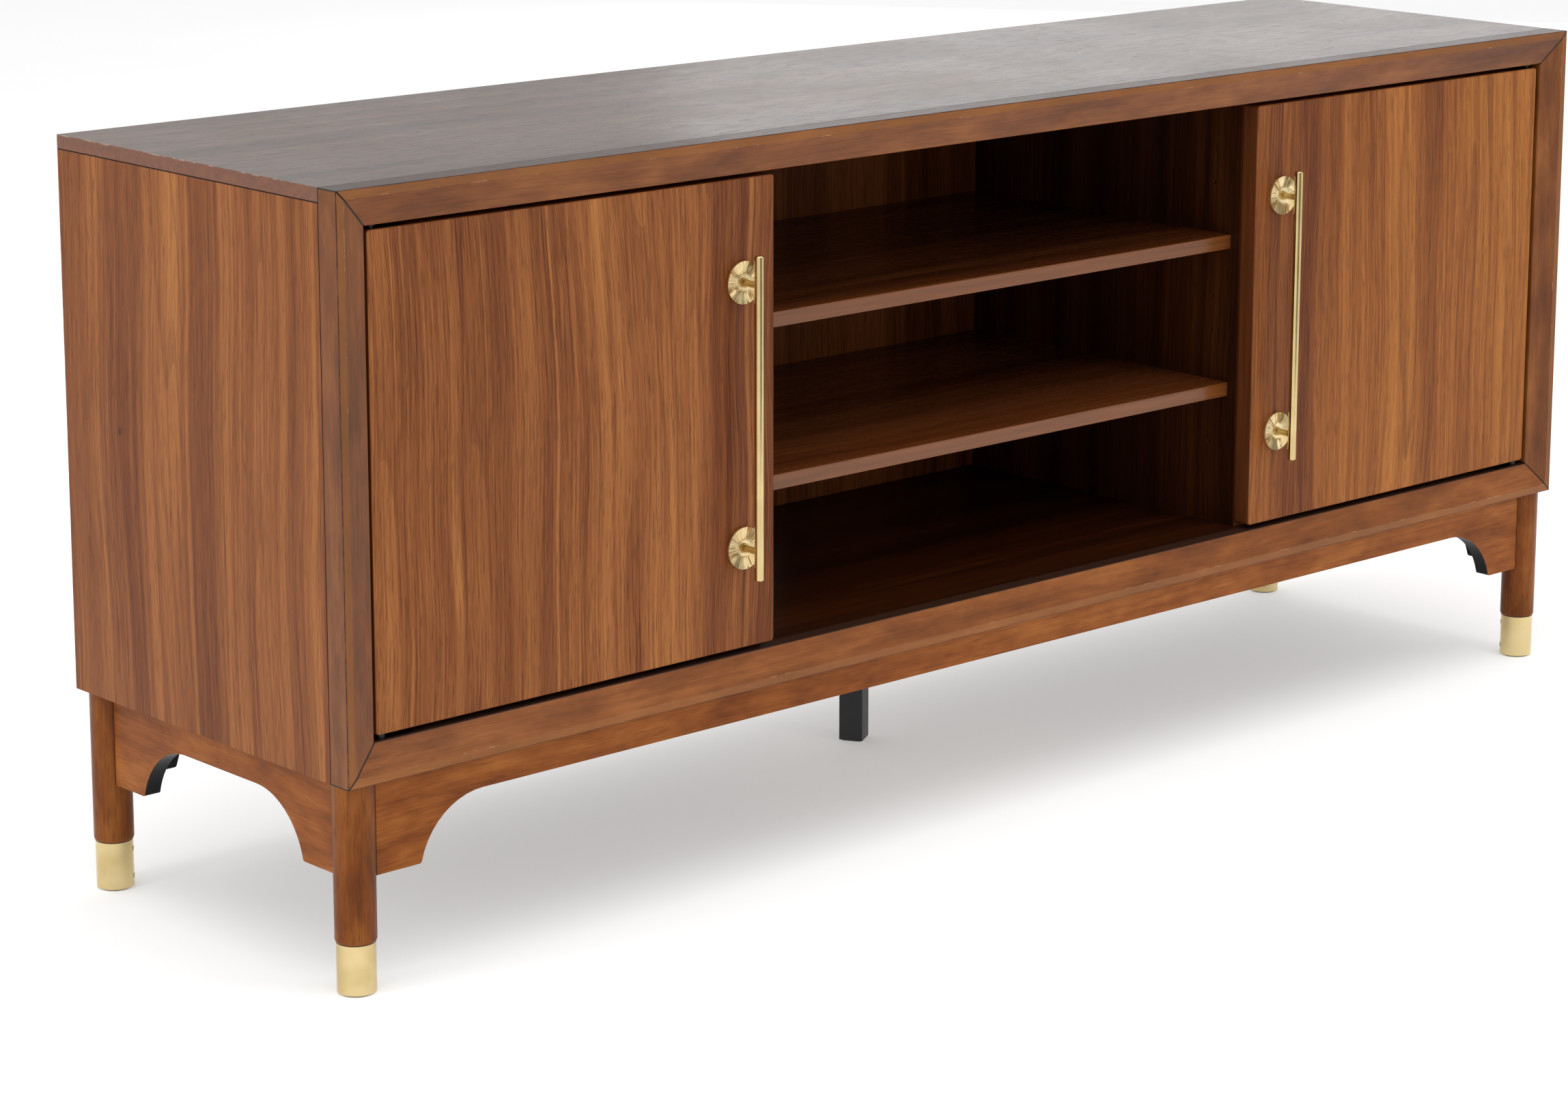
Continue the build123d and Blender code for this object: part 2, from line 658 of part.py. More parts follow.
def diagonal_rod(x, y, z, start, end, diameter):
    """Rod on the inward diagonal of the leg at x, y, between two distances from its axis."""
    step_x, step_y = inward(x, y)
    centre = (start + end) / 2
    turn = 45 if step_x * step_y > 0 else -45
    rod = Rot(0, 0, turn) * Rot(0, 90, 0) * Cylinder(diameter / 2, abs(end - start))
    return Pos(x + step_x * centre, y + step_y * centre, z) * rod


def ferrule_screws(x, y):
    """Two screws through the ferrule, on the side that faces the middle of the cabinet."""
    outside = ferrule_radius + FERRULE_SCREW_PROUD
    under_head = outside - FERRULE_HEAD_THICKNESS
    low = GLIDE_THICKNESS + FERRULE_SCREW_INSET
    screws = []
    for z in (low, FERRULE_TOP - FERRULE_SCREW_INSET):
        head = diagonal_rod(x, y, z, under_head, outside, FERRULE_SCREW_HEAD)
        tip = under_head - FERRULE_SCREW_REACH
        shank = diagonal_rod(x, y, z, tip, under_head, FERRULE_SCREW_DIAMETER)
        screws.append(head + shank)
    return screws


def leg_bolt(x, y):
    """Hanger bolt from inside the leg through its corner block, with its nut."""
    z = BODY_CLEARANCE - BLOCK_HEIGHT / 2
    seat = block_face_distance(x, y)
    end = seat + LEG_NUT_HEIGHT + LEG_BOLT_STUB
    bolt = diagonal_rod(x, y, z, -LEG_BOLT_BITE, end, LEG_BOLT_DIAMETER)
    step_x, step_y = inward(x, y)
    turn = 45 if step_x * step_y > 0 else -45
    nut = extrude(RegularPolygon(LEG_NUT_SIZE / 2, 6, major_radius=False), LEG_NUT_HEIGHT / 2, both=True)
    nut = Rot(0, 0, turn) * Rot(0, 90, 0) * nut
    middle = seat + LEG_NUT_HEIGHT / 2
    return bolt + Pos(x + step_x * middle, y + step_y * middle, z) * nut


def bolt_room(x, y):
    """Room round a leg's bolt that the ends of the aprons leave free."""
    z = BODY_CLEARANCE - BLOCK_HEIGHT / 2
    return diagonal_rod(x, y, z, 0, block_face_distance(x, y), LEG_BOLT_DIAMETER + 2 * LEG_BOLT_PLAY)


def apron_inner_corner(x, y):
    """Corner where the inner faces of the two aprons beside a leg would meet."""
    side_x = half_width - APRON_INSET_SIDE - APRON_THICKNESS
    front_y = front + APRON_INSET_FRONT + APRON_THICKNESS
    back_y = back - APRON_INSET_FRONT - APRON_THICKNESS
    return (side_x if x > 0 else -side_x, back_y if y > middle_y else front_y)


def block_face_distance(x, y):
    """Distance from a leg's axis to the slanted face of its corner block, along the diagonal."""
    corner_x, corner_y = apron_inner_corner(x, y)
    step_x, step_y = inward(x, y)
    to_corner = (corner_x - x) * step_x + (corner_y - y) * step_y
    return to_corner + BLOCK_LEG * DIAGONAL


def leg(x, y, tools):
    """Round leg with a bevelled shoulder and a turned tenon that the ferrule covers."""
    floor = GLIDE_THICKNESS + FERRULE_WALL
    outline = Polyline(
        (0, floor),
        (tenon_radius, floor),
        (tenon_radius, FERRULE_TOP),
        (ferrule_radius, FERRULE_TOP),
        (leg_radius, FERRULE_TOP + LEG_SHOULDER),
        (leg_radius, BODY_CLEARANCE),
        (0, BODY_CLEARANCE),
        close=True,
    )
    turned = revolve(Plane.XZ * make_face(outline), Axis.Z)
    return cut(Pos(x, y, 0) * turned, tools)


def ferrule(x, y, tools):
    """Metal cup round the foot of a leg."""
    cup = rod_z(x, y, GLIDE_THICKNESS, FERRULE_TOP, FERRULE_DIAMETER)
    cup = chamfer(cup.edges().group_by(Axis.Z)[0], FERRULE_CHAMFER)
    inside = rod_z(x, y, GLIDE_THICKNESS + FERRULE_WALL, FERRULE_TOP, 2 * tenon_radius)
    return cut(cup - inside, tools)


def glide(x, y):
    return rod_z(x, y, 0, GLIDE_THICKNESS, FERRULE_DIAMETER - 2 * GLIDE_MARGIN)


def arched(outline_half, arch_half, thickness):
    """Apron board along X, standing on y = 0: a straight rail on two feet with arched shoulders."""
    foot_low = BODY_CLEARANCE - APRON_FOOT_HEIGHT
    rail_low = BODY_CLEARANCE - APRON_RAIL_HEIGHT
    centre_z = rail_low - APRON_ARCH_RADIUS
    y = (-thickness / 2, thickness / 2)
    board = slab((-outline_half, outline_half), y, (foot_low, BODY_CLEARANCE))
    reach = sqrt(APRON_ARCH_RADIUS**2 - (foot_low - centre_z) ** 2)
    centre_x = arch_half - reach
    board -= slab((-centre_x, centre_x), y, (centre_z, rail_low))
    for x in (-centre_x, centre_x):
        board -= rod_y(x, centre_z, y[0], y[1], 2 * APRON_ARCH_RADIUS)
    return fillet(edges_at(board, Axis.Y, x=arch_half, z=foot_low), APRON_CORNER_ROUND)


def aprons(legs, rooms):
    """Front, back, left and right aprons, coped to the round legs and clear of their bolts."""
    front_board = arched(leg_x, leg_x - leg_radius - APRON_FOOT_LENGTH, APRON_THICKNESS)
    half_span = (leg_back_y - leg_front_y) / 2
    side_board = arched(half_span, half_span - leg_radius - APRON_FOOT_LENGTH, APRON_THICKNESS)
    front_y = front + APRON_INSET_FRONT + APRON_THICKNESS / 2
    back_y = back - APRON_INSET_FRONT - APRON_THICKNESS / 2
    side_x = half_width - APRON_INSET_SIDE - APRON_THICKNESS / 2
    boards = {
        "front_apron": Pos(0, front_y, 0) * front_board,
        "back_apron": Pos(0, back_y, 0) * front_board,
        "left_apron": Pos(-side_x, middle_y, 0) * Rot(0, 0, 90) * side_board,
        "right_apron": Pos(side_x, middle_y, 0) * Rot(0, 0, 90) * side_board,
    }
    return {name: cut(board, legs + rooms) for name, board in boards.items()}


def corner_block(x, y, tools):
    """Glued block across the corner behind a leg, coped to it and bored for its bolt."""
    corner_x, corner_y = apron_inner_corner(x, y)
    step_x, step_y = inward(x, y)
    way_x = step_x / DIAGONAL
    way_y = step_y / DIAGONAL
    outline = Polyline(
        (corner_x, corner_y),
        (corner_x + way_x * BLOCK_LEG, corner_y),
        (corner_x, corner_y + way_y * BLOCK_LEG),
        close=True,
    )
    block = extrude(make_face(outline), BLOCK_HEIGHT, dir=(0, 0, 1))
    block = Pos(0, 0, BODY_CLEARANCE - BLOCK_HEIGHT) * block
    return cut(block, tools)


def centre_leg(bolt):
    """Square post below the middle of the bottom, turned as it was screwed home."""
    height = BODY_CLEARANCE - GLIDE_THICKNESS
    post = Box(CENTRE_LEG_SIDE, CENTRE_LEG_SIDE, height)
    post = fillet(post.edges().filter_by(Axis.Z), CENTRE_LEG_ROUND)
    place = Pos(CENTRE_LEG_OFFSET, centre_leg_y, GLIDE_THICKNESS + height / 2)
    return place * Rot(0, 0, CENTRE_LEG_TURN) * post - bolt


def centre_bolt():
    return rod_z(CENTRE_LEG_OFFSET, centre_leg_y, BODY_CLEARANCE - CENTRE_BOLT_DEPTH,
                 BODY_CLEARANCE + CENTRE_BOLT_REACH, LEG_BOLT_DIAMETER)


def centre_glide():
    side = CENTRE_LEG_SIDE - 2 * GLIDE_MARGIN
    place = Pos(CENTRE_LEG_OFFSET, centre_leg_y, GLIDE_THICKNESS / 2)
    return place * Rot(0, 0, CENTRE_LEG_TURN) * Box(side, side, GLIDE_THICKNESS)


# ---- Whole cabinet -------------------------------------------------------------------------------
def build_frame(pivots):
    for name, member in frame_members().items():
        tools = [tool for side in pivots for group in side for tool in group]
        save(name, cut(member, tools if "rail" in name else []))


def build_carcass():
    pegs = dowels()
    screws = back_screws()
    save("dowels", pegs)
    save("back_screws", screws)
    save("top_board", cut(top_board(pegs), screws))
    save("bottom_board", cut(bottom_board(pegs), screws))
    bolt = centre_bolt()
    save("bottom_battens", cut_each(bottom_battens(), [bolt]))
    for name, side in SIDES:
        side_pins = pin_holes(side, side_inner, [cupboard_pins], 1)
        save(f"{name}_side_panel", cut(side_panel(side, pegs, side_pins), screws))
        bores = pin_holes(side, divider_inner, [lower_pins, upper_pins], 1)
        bores += pin_holes(side, divider_outer, [cupboard_pins], -1)
        save(f"{name}_divider", divider(side, bores + pegs + screws + magnets(side)))
    for bay in back_spans():
        save(f"{bay}_back_panel", back_panel(bay, screws))
    save("cable_grommets", [cable_grommet(x) for x in cable_hole_x().values()])


def build_shelves():
    save("lower_shelf", shelf(-divider_inner, divider_inner, lower_pins))
    save("upper_shelf", shelf(-divider_inner, divider_inner, upper_pins))
    save("left_cupboard_shelf", shelf(-side_inner, -divider_outer, cupboard_pins))
    save("right_cupboard_shelf", shelf(divider_outer, side_inner, cupboard_pins))
    pins = []
    for _, side in SIDES:
        pins += pins_at(side, divider_inner, lower_pins, 1)
        pins += pins_at(side, divider_inner, upper_pins, 1)
        pins += pins_at(side, divider_outer, cupboard_pins, -1)
        pins += pins_at(side, side_inner, cupboard_pins, 1)
    save("shelf_pins", pins)


def build_doors():
    """Both doors with their hardware; returns the pivot pieces that are let into the frame."""
    frame_plates, frame_screws, frame_pins, tools = [], [], [], []
    for name, side in SIDES:
        plates, blanks, screws, bores = door_pivots(side)
        bar, posts, rosettes, long_screws = handle(side)
        nails = strikes(side)
        save(f"{name}_door", door_panel(side, blanks + screws + bores + long_screws + nails))
        save(f"{name}_door_pivot_plates", plates)
        save(f"{name}_door_pivot_screws", screws)
        save(f"{name}_handle_bar", bar)
        save(f"{name}_handle_posts", posts)
        save(f"{name}_handle_rosettes", rosettes)
        save(f"{name}_handle_screws", long_screws)
        save(f"{name}_door_strikes", nails)
        plates, screws, pins = frame_pivots(side)
        frame_plates += plates
        frame_screws += screws
        frame_pins += pins
        tools.append((plates, screws, pins))
    save("frame_pivot_plates", frame_plates)
    save("frame_pivot_screws", frame_screws)
    save("pivot_pins", frame_pins)
    save("divider_magnets", [magnet for _, side in SIDES for magnet in magnets(side)])
    save("divider_bumpers", [pad for _, side in SIDES for pad in bumpers(side)])
    return tools


def build_base():
    legs = []
    blanks = []
    glides = [centre_glide()]
    screws = []
    bolts = [centre_bolt()]
    blocks = []
    for place, (x, y) in leg_places().items():
        fixings = ferrule_screws(x, y)
        bolt = leg_bolt(x, y)
        blank = leg(x, y, [])
        blanks.append(blank)
        save(f"{place}_leg", cut(blank, fixings + [bolt]))
        save(f"{place}_ferrule", ferrule(x, y, fixings))
        blocks.append(corner_block(x, y, [blank, bolt]))
        screws += fixings
        bolts.append(bolt)
        glides.append(glide(x, y))
    rooms = [bolt_room(x, y) for x, y in leg_places().values()]
    for name, board in aprons(blanks, rooms).items():
        save(name, board)
    save("corner_blocks", blocks)
    save("ferrule_screws", screws)
    save("leg_bolts", bolts)
    save("foot_glides", glides)
    save("centre_leg", centre_leg(centre_bolt()))


def main():
    os.makedirs("parts", exist_ok=True)
    build_frame(build_doors())
    build_carcass()
    build_shelves()
    build_base()


main()
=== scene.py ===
"""Long low media cabinet in walnut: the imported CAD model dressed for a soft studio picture.

The CAD nodes keep their shapes and get finishes made of shader nodes. The fluted rosettes are
modelled here and stand for their plain CAD nodes.
Metres, +Z up, floor at z = 0, front towards -Y.
"""

import logging
import math
import random
from dataclasses import dataclass, field, replace
from enum import Enum

import bmesh
import bpy
from mathutils import Euler, Matrix, Vector


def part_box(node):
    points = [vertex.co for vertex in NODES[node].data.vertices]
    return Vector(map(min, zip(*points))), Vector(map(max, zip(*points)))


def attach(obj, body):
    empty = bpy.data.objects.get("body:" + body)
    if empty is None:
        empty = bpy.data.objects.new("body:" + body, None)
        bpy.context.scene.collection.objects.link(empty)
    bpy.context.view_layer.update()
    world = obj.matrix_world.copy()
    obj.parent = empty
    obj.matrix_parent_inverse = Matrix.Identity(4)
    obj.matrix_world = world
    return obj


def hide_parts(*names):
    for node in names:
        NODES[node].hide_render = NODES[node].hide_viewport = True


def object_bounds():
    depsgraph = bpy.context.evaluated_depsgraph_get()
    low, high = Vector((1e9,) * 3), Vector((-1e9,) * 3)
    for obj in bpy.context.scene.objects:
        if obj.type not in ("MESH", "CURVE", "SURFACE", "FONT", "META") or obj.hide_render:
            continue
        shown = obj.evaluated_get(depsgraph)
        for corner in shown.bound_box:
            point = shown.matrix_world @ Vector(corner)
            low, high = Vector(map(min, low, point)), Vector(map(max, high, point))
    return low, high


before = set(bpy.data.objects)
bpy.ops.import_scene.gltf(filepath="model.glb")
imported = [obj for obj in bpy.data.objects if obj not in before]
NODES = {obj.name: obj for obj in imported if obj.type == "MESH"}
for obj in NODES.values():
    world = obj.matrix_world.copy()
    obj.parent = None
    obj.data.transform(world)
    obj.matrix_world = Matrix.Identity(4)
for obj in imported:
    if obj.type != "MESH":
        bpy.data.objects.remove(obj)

CAD_LOW, CAD_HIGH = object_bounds()
LOG = logging.getLogger("cabinet")
Colour = tuple[float, float, float]
Material = bpy.types.Material
Socket = bpy.types.NodeSocket
Place = tuple[float, float, float]
Wood = tuple[Colour, Colour, Colour]
Tones = tuple[tuple[float, float], ...]
Outline = list[tuple[float, float]]
Verts = list[bmesh.types.BMVert]
MM = 0.001

# Cells per metre across, through and along the grain, for each layer of the wood.
DRIFT_SCALE: Place = (2.6, 2.6, 2.1)
LINE_SCALE: Place = (520.0, 520.0, 4.5)
FIBRE_SCALE: Place = (1100.0, 1100.0, 16.0)
MOTTLE_SCALE: Place = (34.0, 34.0, 11.0)
VEIN_SCALE: Place = (45.0, 45.0, 0.45)
KNOT_SCALE: Place = (5.0, 5.0, 2.6)
PORE_SCALE: Place = (1300.0, 1300.0, 42.0)
EDGE_SCALE: Place = (160.0, 160.0, 6.0)

# Cells per metre every way.
GLOSS_SCALE: Place = (6.0, 6.0, 6.0)
WEAR_SCALE: Place = (60.0, 60.0, 60.0)
FRAME_WEAR_SCALE: Place = (45.0, 45.0, 45.0)
STEEL_LINES: Place = (900.0, 900.0, 900.0)

# How much each layer of a veneer weighs in its tone, and half the range of tones.
BAND_SHARE = 0.40
STREAK_SHARE = 0.14
LINE_SHARE = 0.26
FIBRE_SHARE = 0.20
TONE_HALF_RANGE = 0.105

# Where leaves are counted from, and how a figure wanders and fades along the grain.
LEAF_START = 9.0
FIGURE_WANDER = 3.2
FIGURE_APART = 90.0

PORE_DEPTH = 0.035 * MM
GROOVE_BLACK: Colour = (0.008, 0.004, 0.003)
JOINT_BLACK: Colour = (0.010, 0.004, 0.003)
SCUFF_PALE: Colour = (0.42, 0.30, 0.22)


def toned(colour: Colour, factor: float) -> Colour:
    """A colour made lighter or darker by a factor."""
    return tuple(min(1.0, part * factor) for part in colour)


class Grain(Enum):
    """The object axes that run across, through and along the grain of a board."""

    UPRIGHT_FRONT = ("X", "Y", "Z")
    UPRIGHT_SIDE = ("Y", "X", "Z")
    LEVEL_TOP = ("Y", "Z", "X")
    LEVEL_FRONT = ("Z", "Y", "X")
    LEVEL_SIDE = ("Z", "X", "Y")


class Way(Enum):
    """A direction in which a face can look: axis letter and sign."""

    FRONT = ("Y", -1.0)
    BACK = ("Y", 1.0)
    LEFT = ("X", -1.0)
    RIGHT = ("X", 1.0)
    UP = ("Z", 1.0)


class NodeSketch:
    """Writes one material's nodes with short calls."""

    def __init__(self, name: str) -> None:
        """Start an empty material.

        Args:
            name: The material's name.
        """
        self.material = bpy.data.materials.new(name)
        self.material.use_nodes = True
        self.tree = self.material.node_tree
        self.tree.nodes.clear()
        self.parts: dict[str, dict[str, Socket]] = {}

    def node(self, kind: str, **inputs: object) -> bpy.types.Node:
        """Add a node and fill its inputs.

        Args:
            kind: The node type without its ShaderNode prefix.
            **inputs: Values or sockets by input name, underscores for spaces.

        Returns:
            The new node.
        """
        made = self.tree.nodes.new("ShaderNode" + kind)
        for key, value in inputs.items():
            self.feed(made.inputs[key.replace("_", " ")], value)
        return made

    def feed(self, target: Socket, value: object) -> None:
        """Link a socket to an input, or set the input to a constant.

        Args:
            target: The input.
            value: What it gets.
        """
        if isinstance(value, Socket):
            self.tree.links.new(value, target)
        else:
            target.default_value = value

    def axes(self, which: str) -> dict[str, Socket]:
        """Split the object's coordinates or its surface normal into X, Y and Z.

        Args:
            which: "Object" or "Normal".

        Returns:
            The three sockets by axis letter.
        """
        if which not in self.parts:
            split = self.node("SeparateXYZ", Vector=self.node("TexCoord").outputs[which])
            self.parts[which] = dict(zip("XYZ", split.outputs))
        return self.parts[which]

    def math(self, operation: str, first: object, second: object = 0.0) -> Socket:
        """One Math node.

        Args:
            operation: Its operation, such as "MULTIPLY".
            first: First value or socket.
            second: Second value or socket.

        Returns:
            The result.
        """
        made = self.node("Math")
        made.operation = operation
        self.feed(made.inputs[0], first)
        self.feed(made.inputs[1], second)
        return made.outputs[0]

    def times(self, first: object, second: object) -> Socket:
        """Multiply two values or sockets."""
        return self.math("MULTIPLY", first, second)

    def apart(self, first: object, second: object) -> Socket:
        """How far two values or sockets are from each other."""
        return self.math("ABSOLUTE", self.math("SUBTRACT", first, second))

    def here(self) -> Socket:
        """The object's own coordinates."""
        return self.vector(*self.axes("Object").values())

    def vector(self, x: object, y: object, z: object) -> Socket:
        """Join three values or sockets into a vector."""
        return self.node("CombineXYZ", X=x, Y=y, Z=z).outputs[0]

    def stretched(self, place: Socket, scale: Place) -> Socket:
        """Coordinates multiplied by a scale of their own along each component.

        Args:
            place: The coordinates.
            scale: The three factors.

        Returns:
            The scaled coordinates.
        """
        made = self.node("VectorMath")
        made.operation = "MULTIPLY"
        self.feed(made.inputs[0], place)
        made.inputs[1].default_value = scale
        return made.outputs[0]

    def noise(self, place: Socket, scale: Place, detail: float = 2.0,
              rough: float = 0.5) -> Socket:
        """Noise with its own scale along each axis.

        Args:
            place: Coordinates in metres.
            scale: Cells per metre along each component of the coordinates.
            detail: Octaves.
            rough: How much the finer octaves weigh.

        Returns:
            A value round 0.5.
        """
        cloud = self.node("TexNoise", Vector=self.stretched(place, scale), Scale=1.0, Detail=detail,
                          Roughness=rough)
        return cloud.outputs[0]

    def chance(self, number: Socket) -> Socket:
        """A random value between 0 and 1 that belongs to a number.

        Args:
            number: The number.

        Returns:
            Its value.
        """
        made = self.node("TexWhiteNoise")
        made.noise_dimensions = "1D"
        self.feed(made.inputs["W"], number)
        return made.outputs[0]

    def spread(self, value: Socket, low: float, high: float, start: float = 0.0,
               end: float = 1.0) -> Socket:
        """Map a range to another with soft ends.

        Args:
            value: What is mapped.
            low: Where the first result is reached.
            high: Where the second result is reached.
            start: Result at low.
            end: Result at high.

        Returns:
            The mapped value.
        """
        made = self.node("MapRange", Value=value, From_Min=low, From_Max=high, To_Min=start, To_Max=end)
        made.interpolation_type = "SMOOTHSTEP"
        return made.outputs[0]

    def ramp(self, value: Socket, stops: list[tuple[float, Colour]]) -> Socket:
        """Colour ramp.

        Args:
            value: Place on the ramp.
            stops: Places and colours, in order.

        Returns:
            The colour.
        """
        made = self.node("ValToRGB", Fac=value)
        elements = made.color_ramp.elements
        while len(elements) < len(stops):
            elements.new(0.5)
        for element, (place, colour) in zip(elements, stops):
            element.position = place
            element.color = (*colour, 1.0)
        return made.outputs[0]

    def mix(self, amount: object, first: object, second: object) -> Socket:
        """Blend two colours.

        Args:
            amount: Share of the second.
            first: Colour or socket.
            second: Colour or socket.

        Returns:
            The blended colour.
        """
        made = self.node("Mix")
        made.data_type = "RGBA"
        self.feed(made.inputs[0], amount)
        for target, value in ((made.inputs[6], first), (made.inputs[7], second)):
            self.feed(target, (*value, 1.0) if isinstance(value, tuple) else value)
        return made.outputs[2]

    def bump(self, height: Socket, depth: float) -> Socket:
        """Raise or sink the surface by a height field.

        Args:
            height: The field, 0 to 1.
            depth: Metres between its lowest and highest.

        Returns:
            The new normal.
        """
        return self.node("Bump", Strength=1.0, Distance=depth, Height=height).outputs[0]

    def facing(self, way: Way) -> Socket:
        """1 on faces that look one way and 0 on the others, soft between.

        Args:
            way: Where they look.

        Returns:
            The mask.
        """
        axis, sign = way.value
        turned = self.times(self.axes("Normal")[axis], sign)
        return self.spread(turned, 0.45, 0.75)

    def near(self, axis: str, place: float, half_width: float) -> Socket:
        """1 where a coordinate is close to a value, fading out within half a width.

        Args:
            axis: The coordinate's letter.
            place: The value.
            half_width: Where it has faded out.

        Returns:
            The mask.
        """
        off = self.apart(self.axes("Object")[axis], place)
        return self.spread(off, half_width * 0.5, half_width, 1.0, 0.0)

    def finish(self, **sockets: object) -> Material:
        """Close the material with a Principled shader.

        Args:
            **sockets: Its inputs by name, underscores for spaces.

        Returns:
            The material.
        """
        shader = self.node("BsdfPrincipled", **sockets)
        output = self.node("OutputMaterial")
        self.tree.links.new(shader.outputs[0], output.inputs[0])
        return self.material


@dataclass(frozen=True)
class Seam:
    """A dark joint line where two boards meet, at one value of one axis."""

    axis: str
    place: float
    half_width: float = 0.9 * MM


@dataclass(frozen=True)
class Scuff:
    """A pale broken line along an arris, where two coordinates are both near their values."""

    first_axis: str
    first_place: float
    second_axis: str
    second_place: float
    half_width: float = 1.3 * MM
    strength: float = 0.55


@dataclass(frozen=True)
class LegJoint:
    """A dark line where a board meets an upright round leg."""

    x: float
    y: float
    radius: float


@dataclass(frozen=True)
class Figure:
    """A long wandering feature of the grain: a golden streak or a bundle of fine dark lines."""

    place: float
    half_width: float
    strength: float
    golden: bool = True


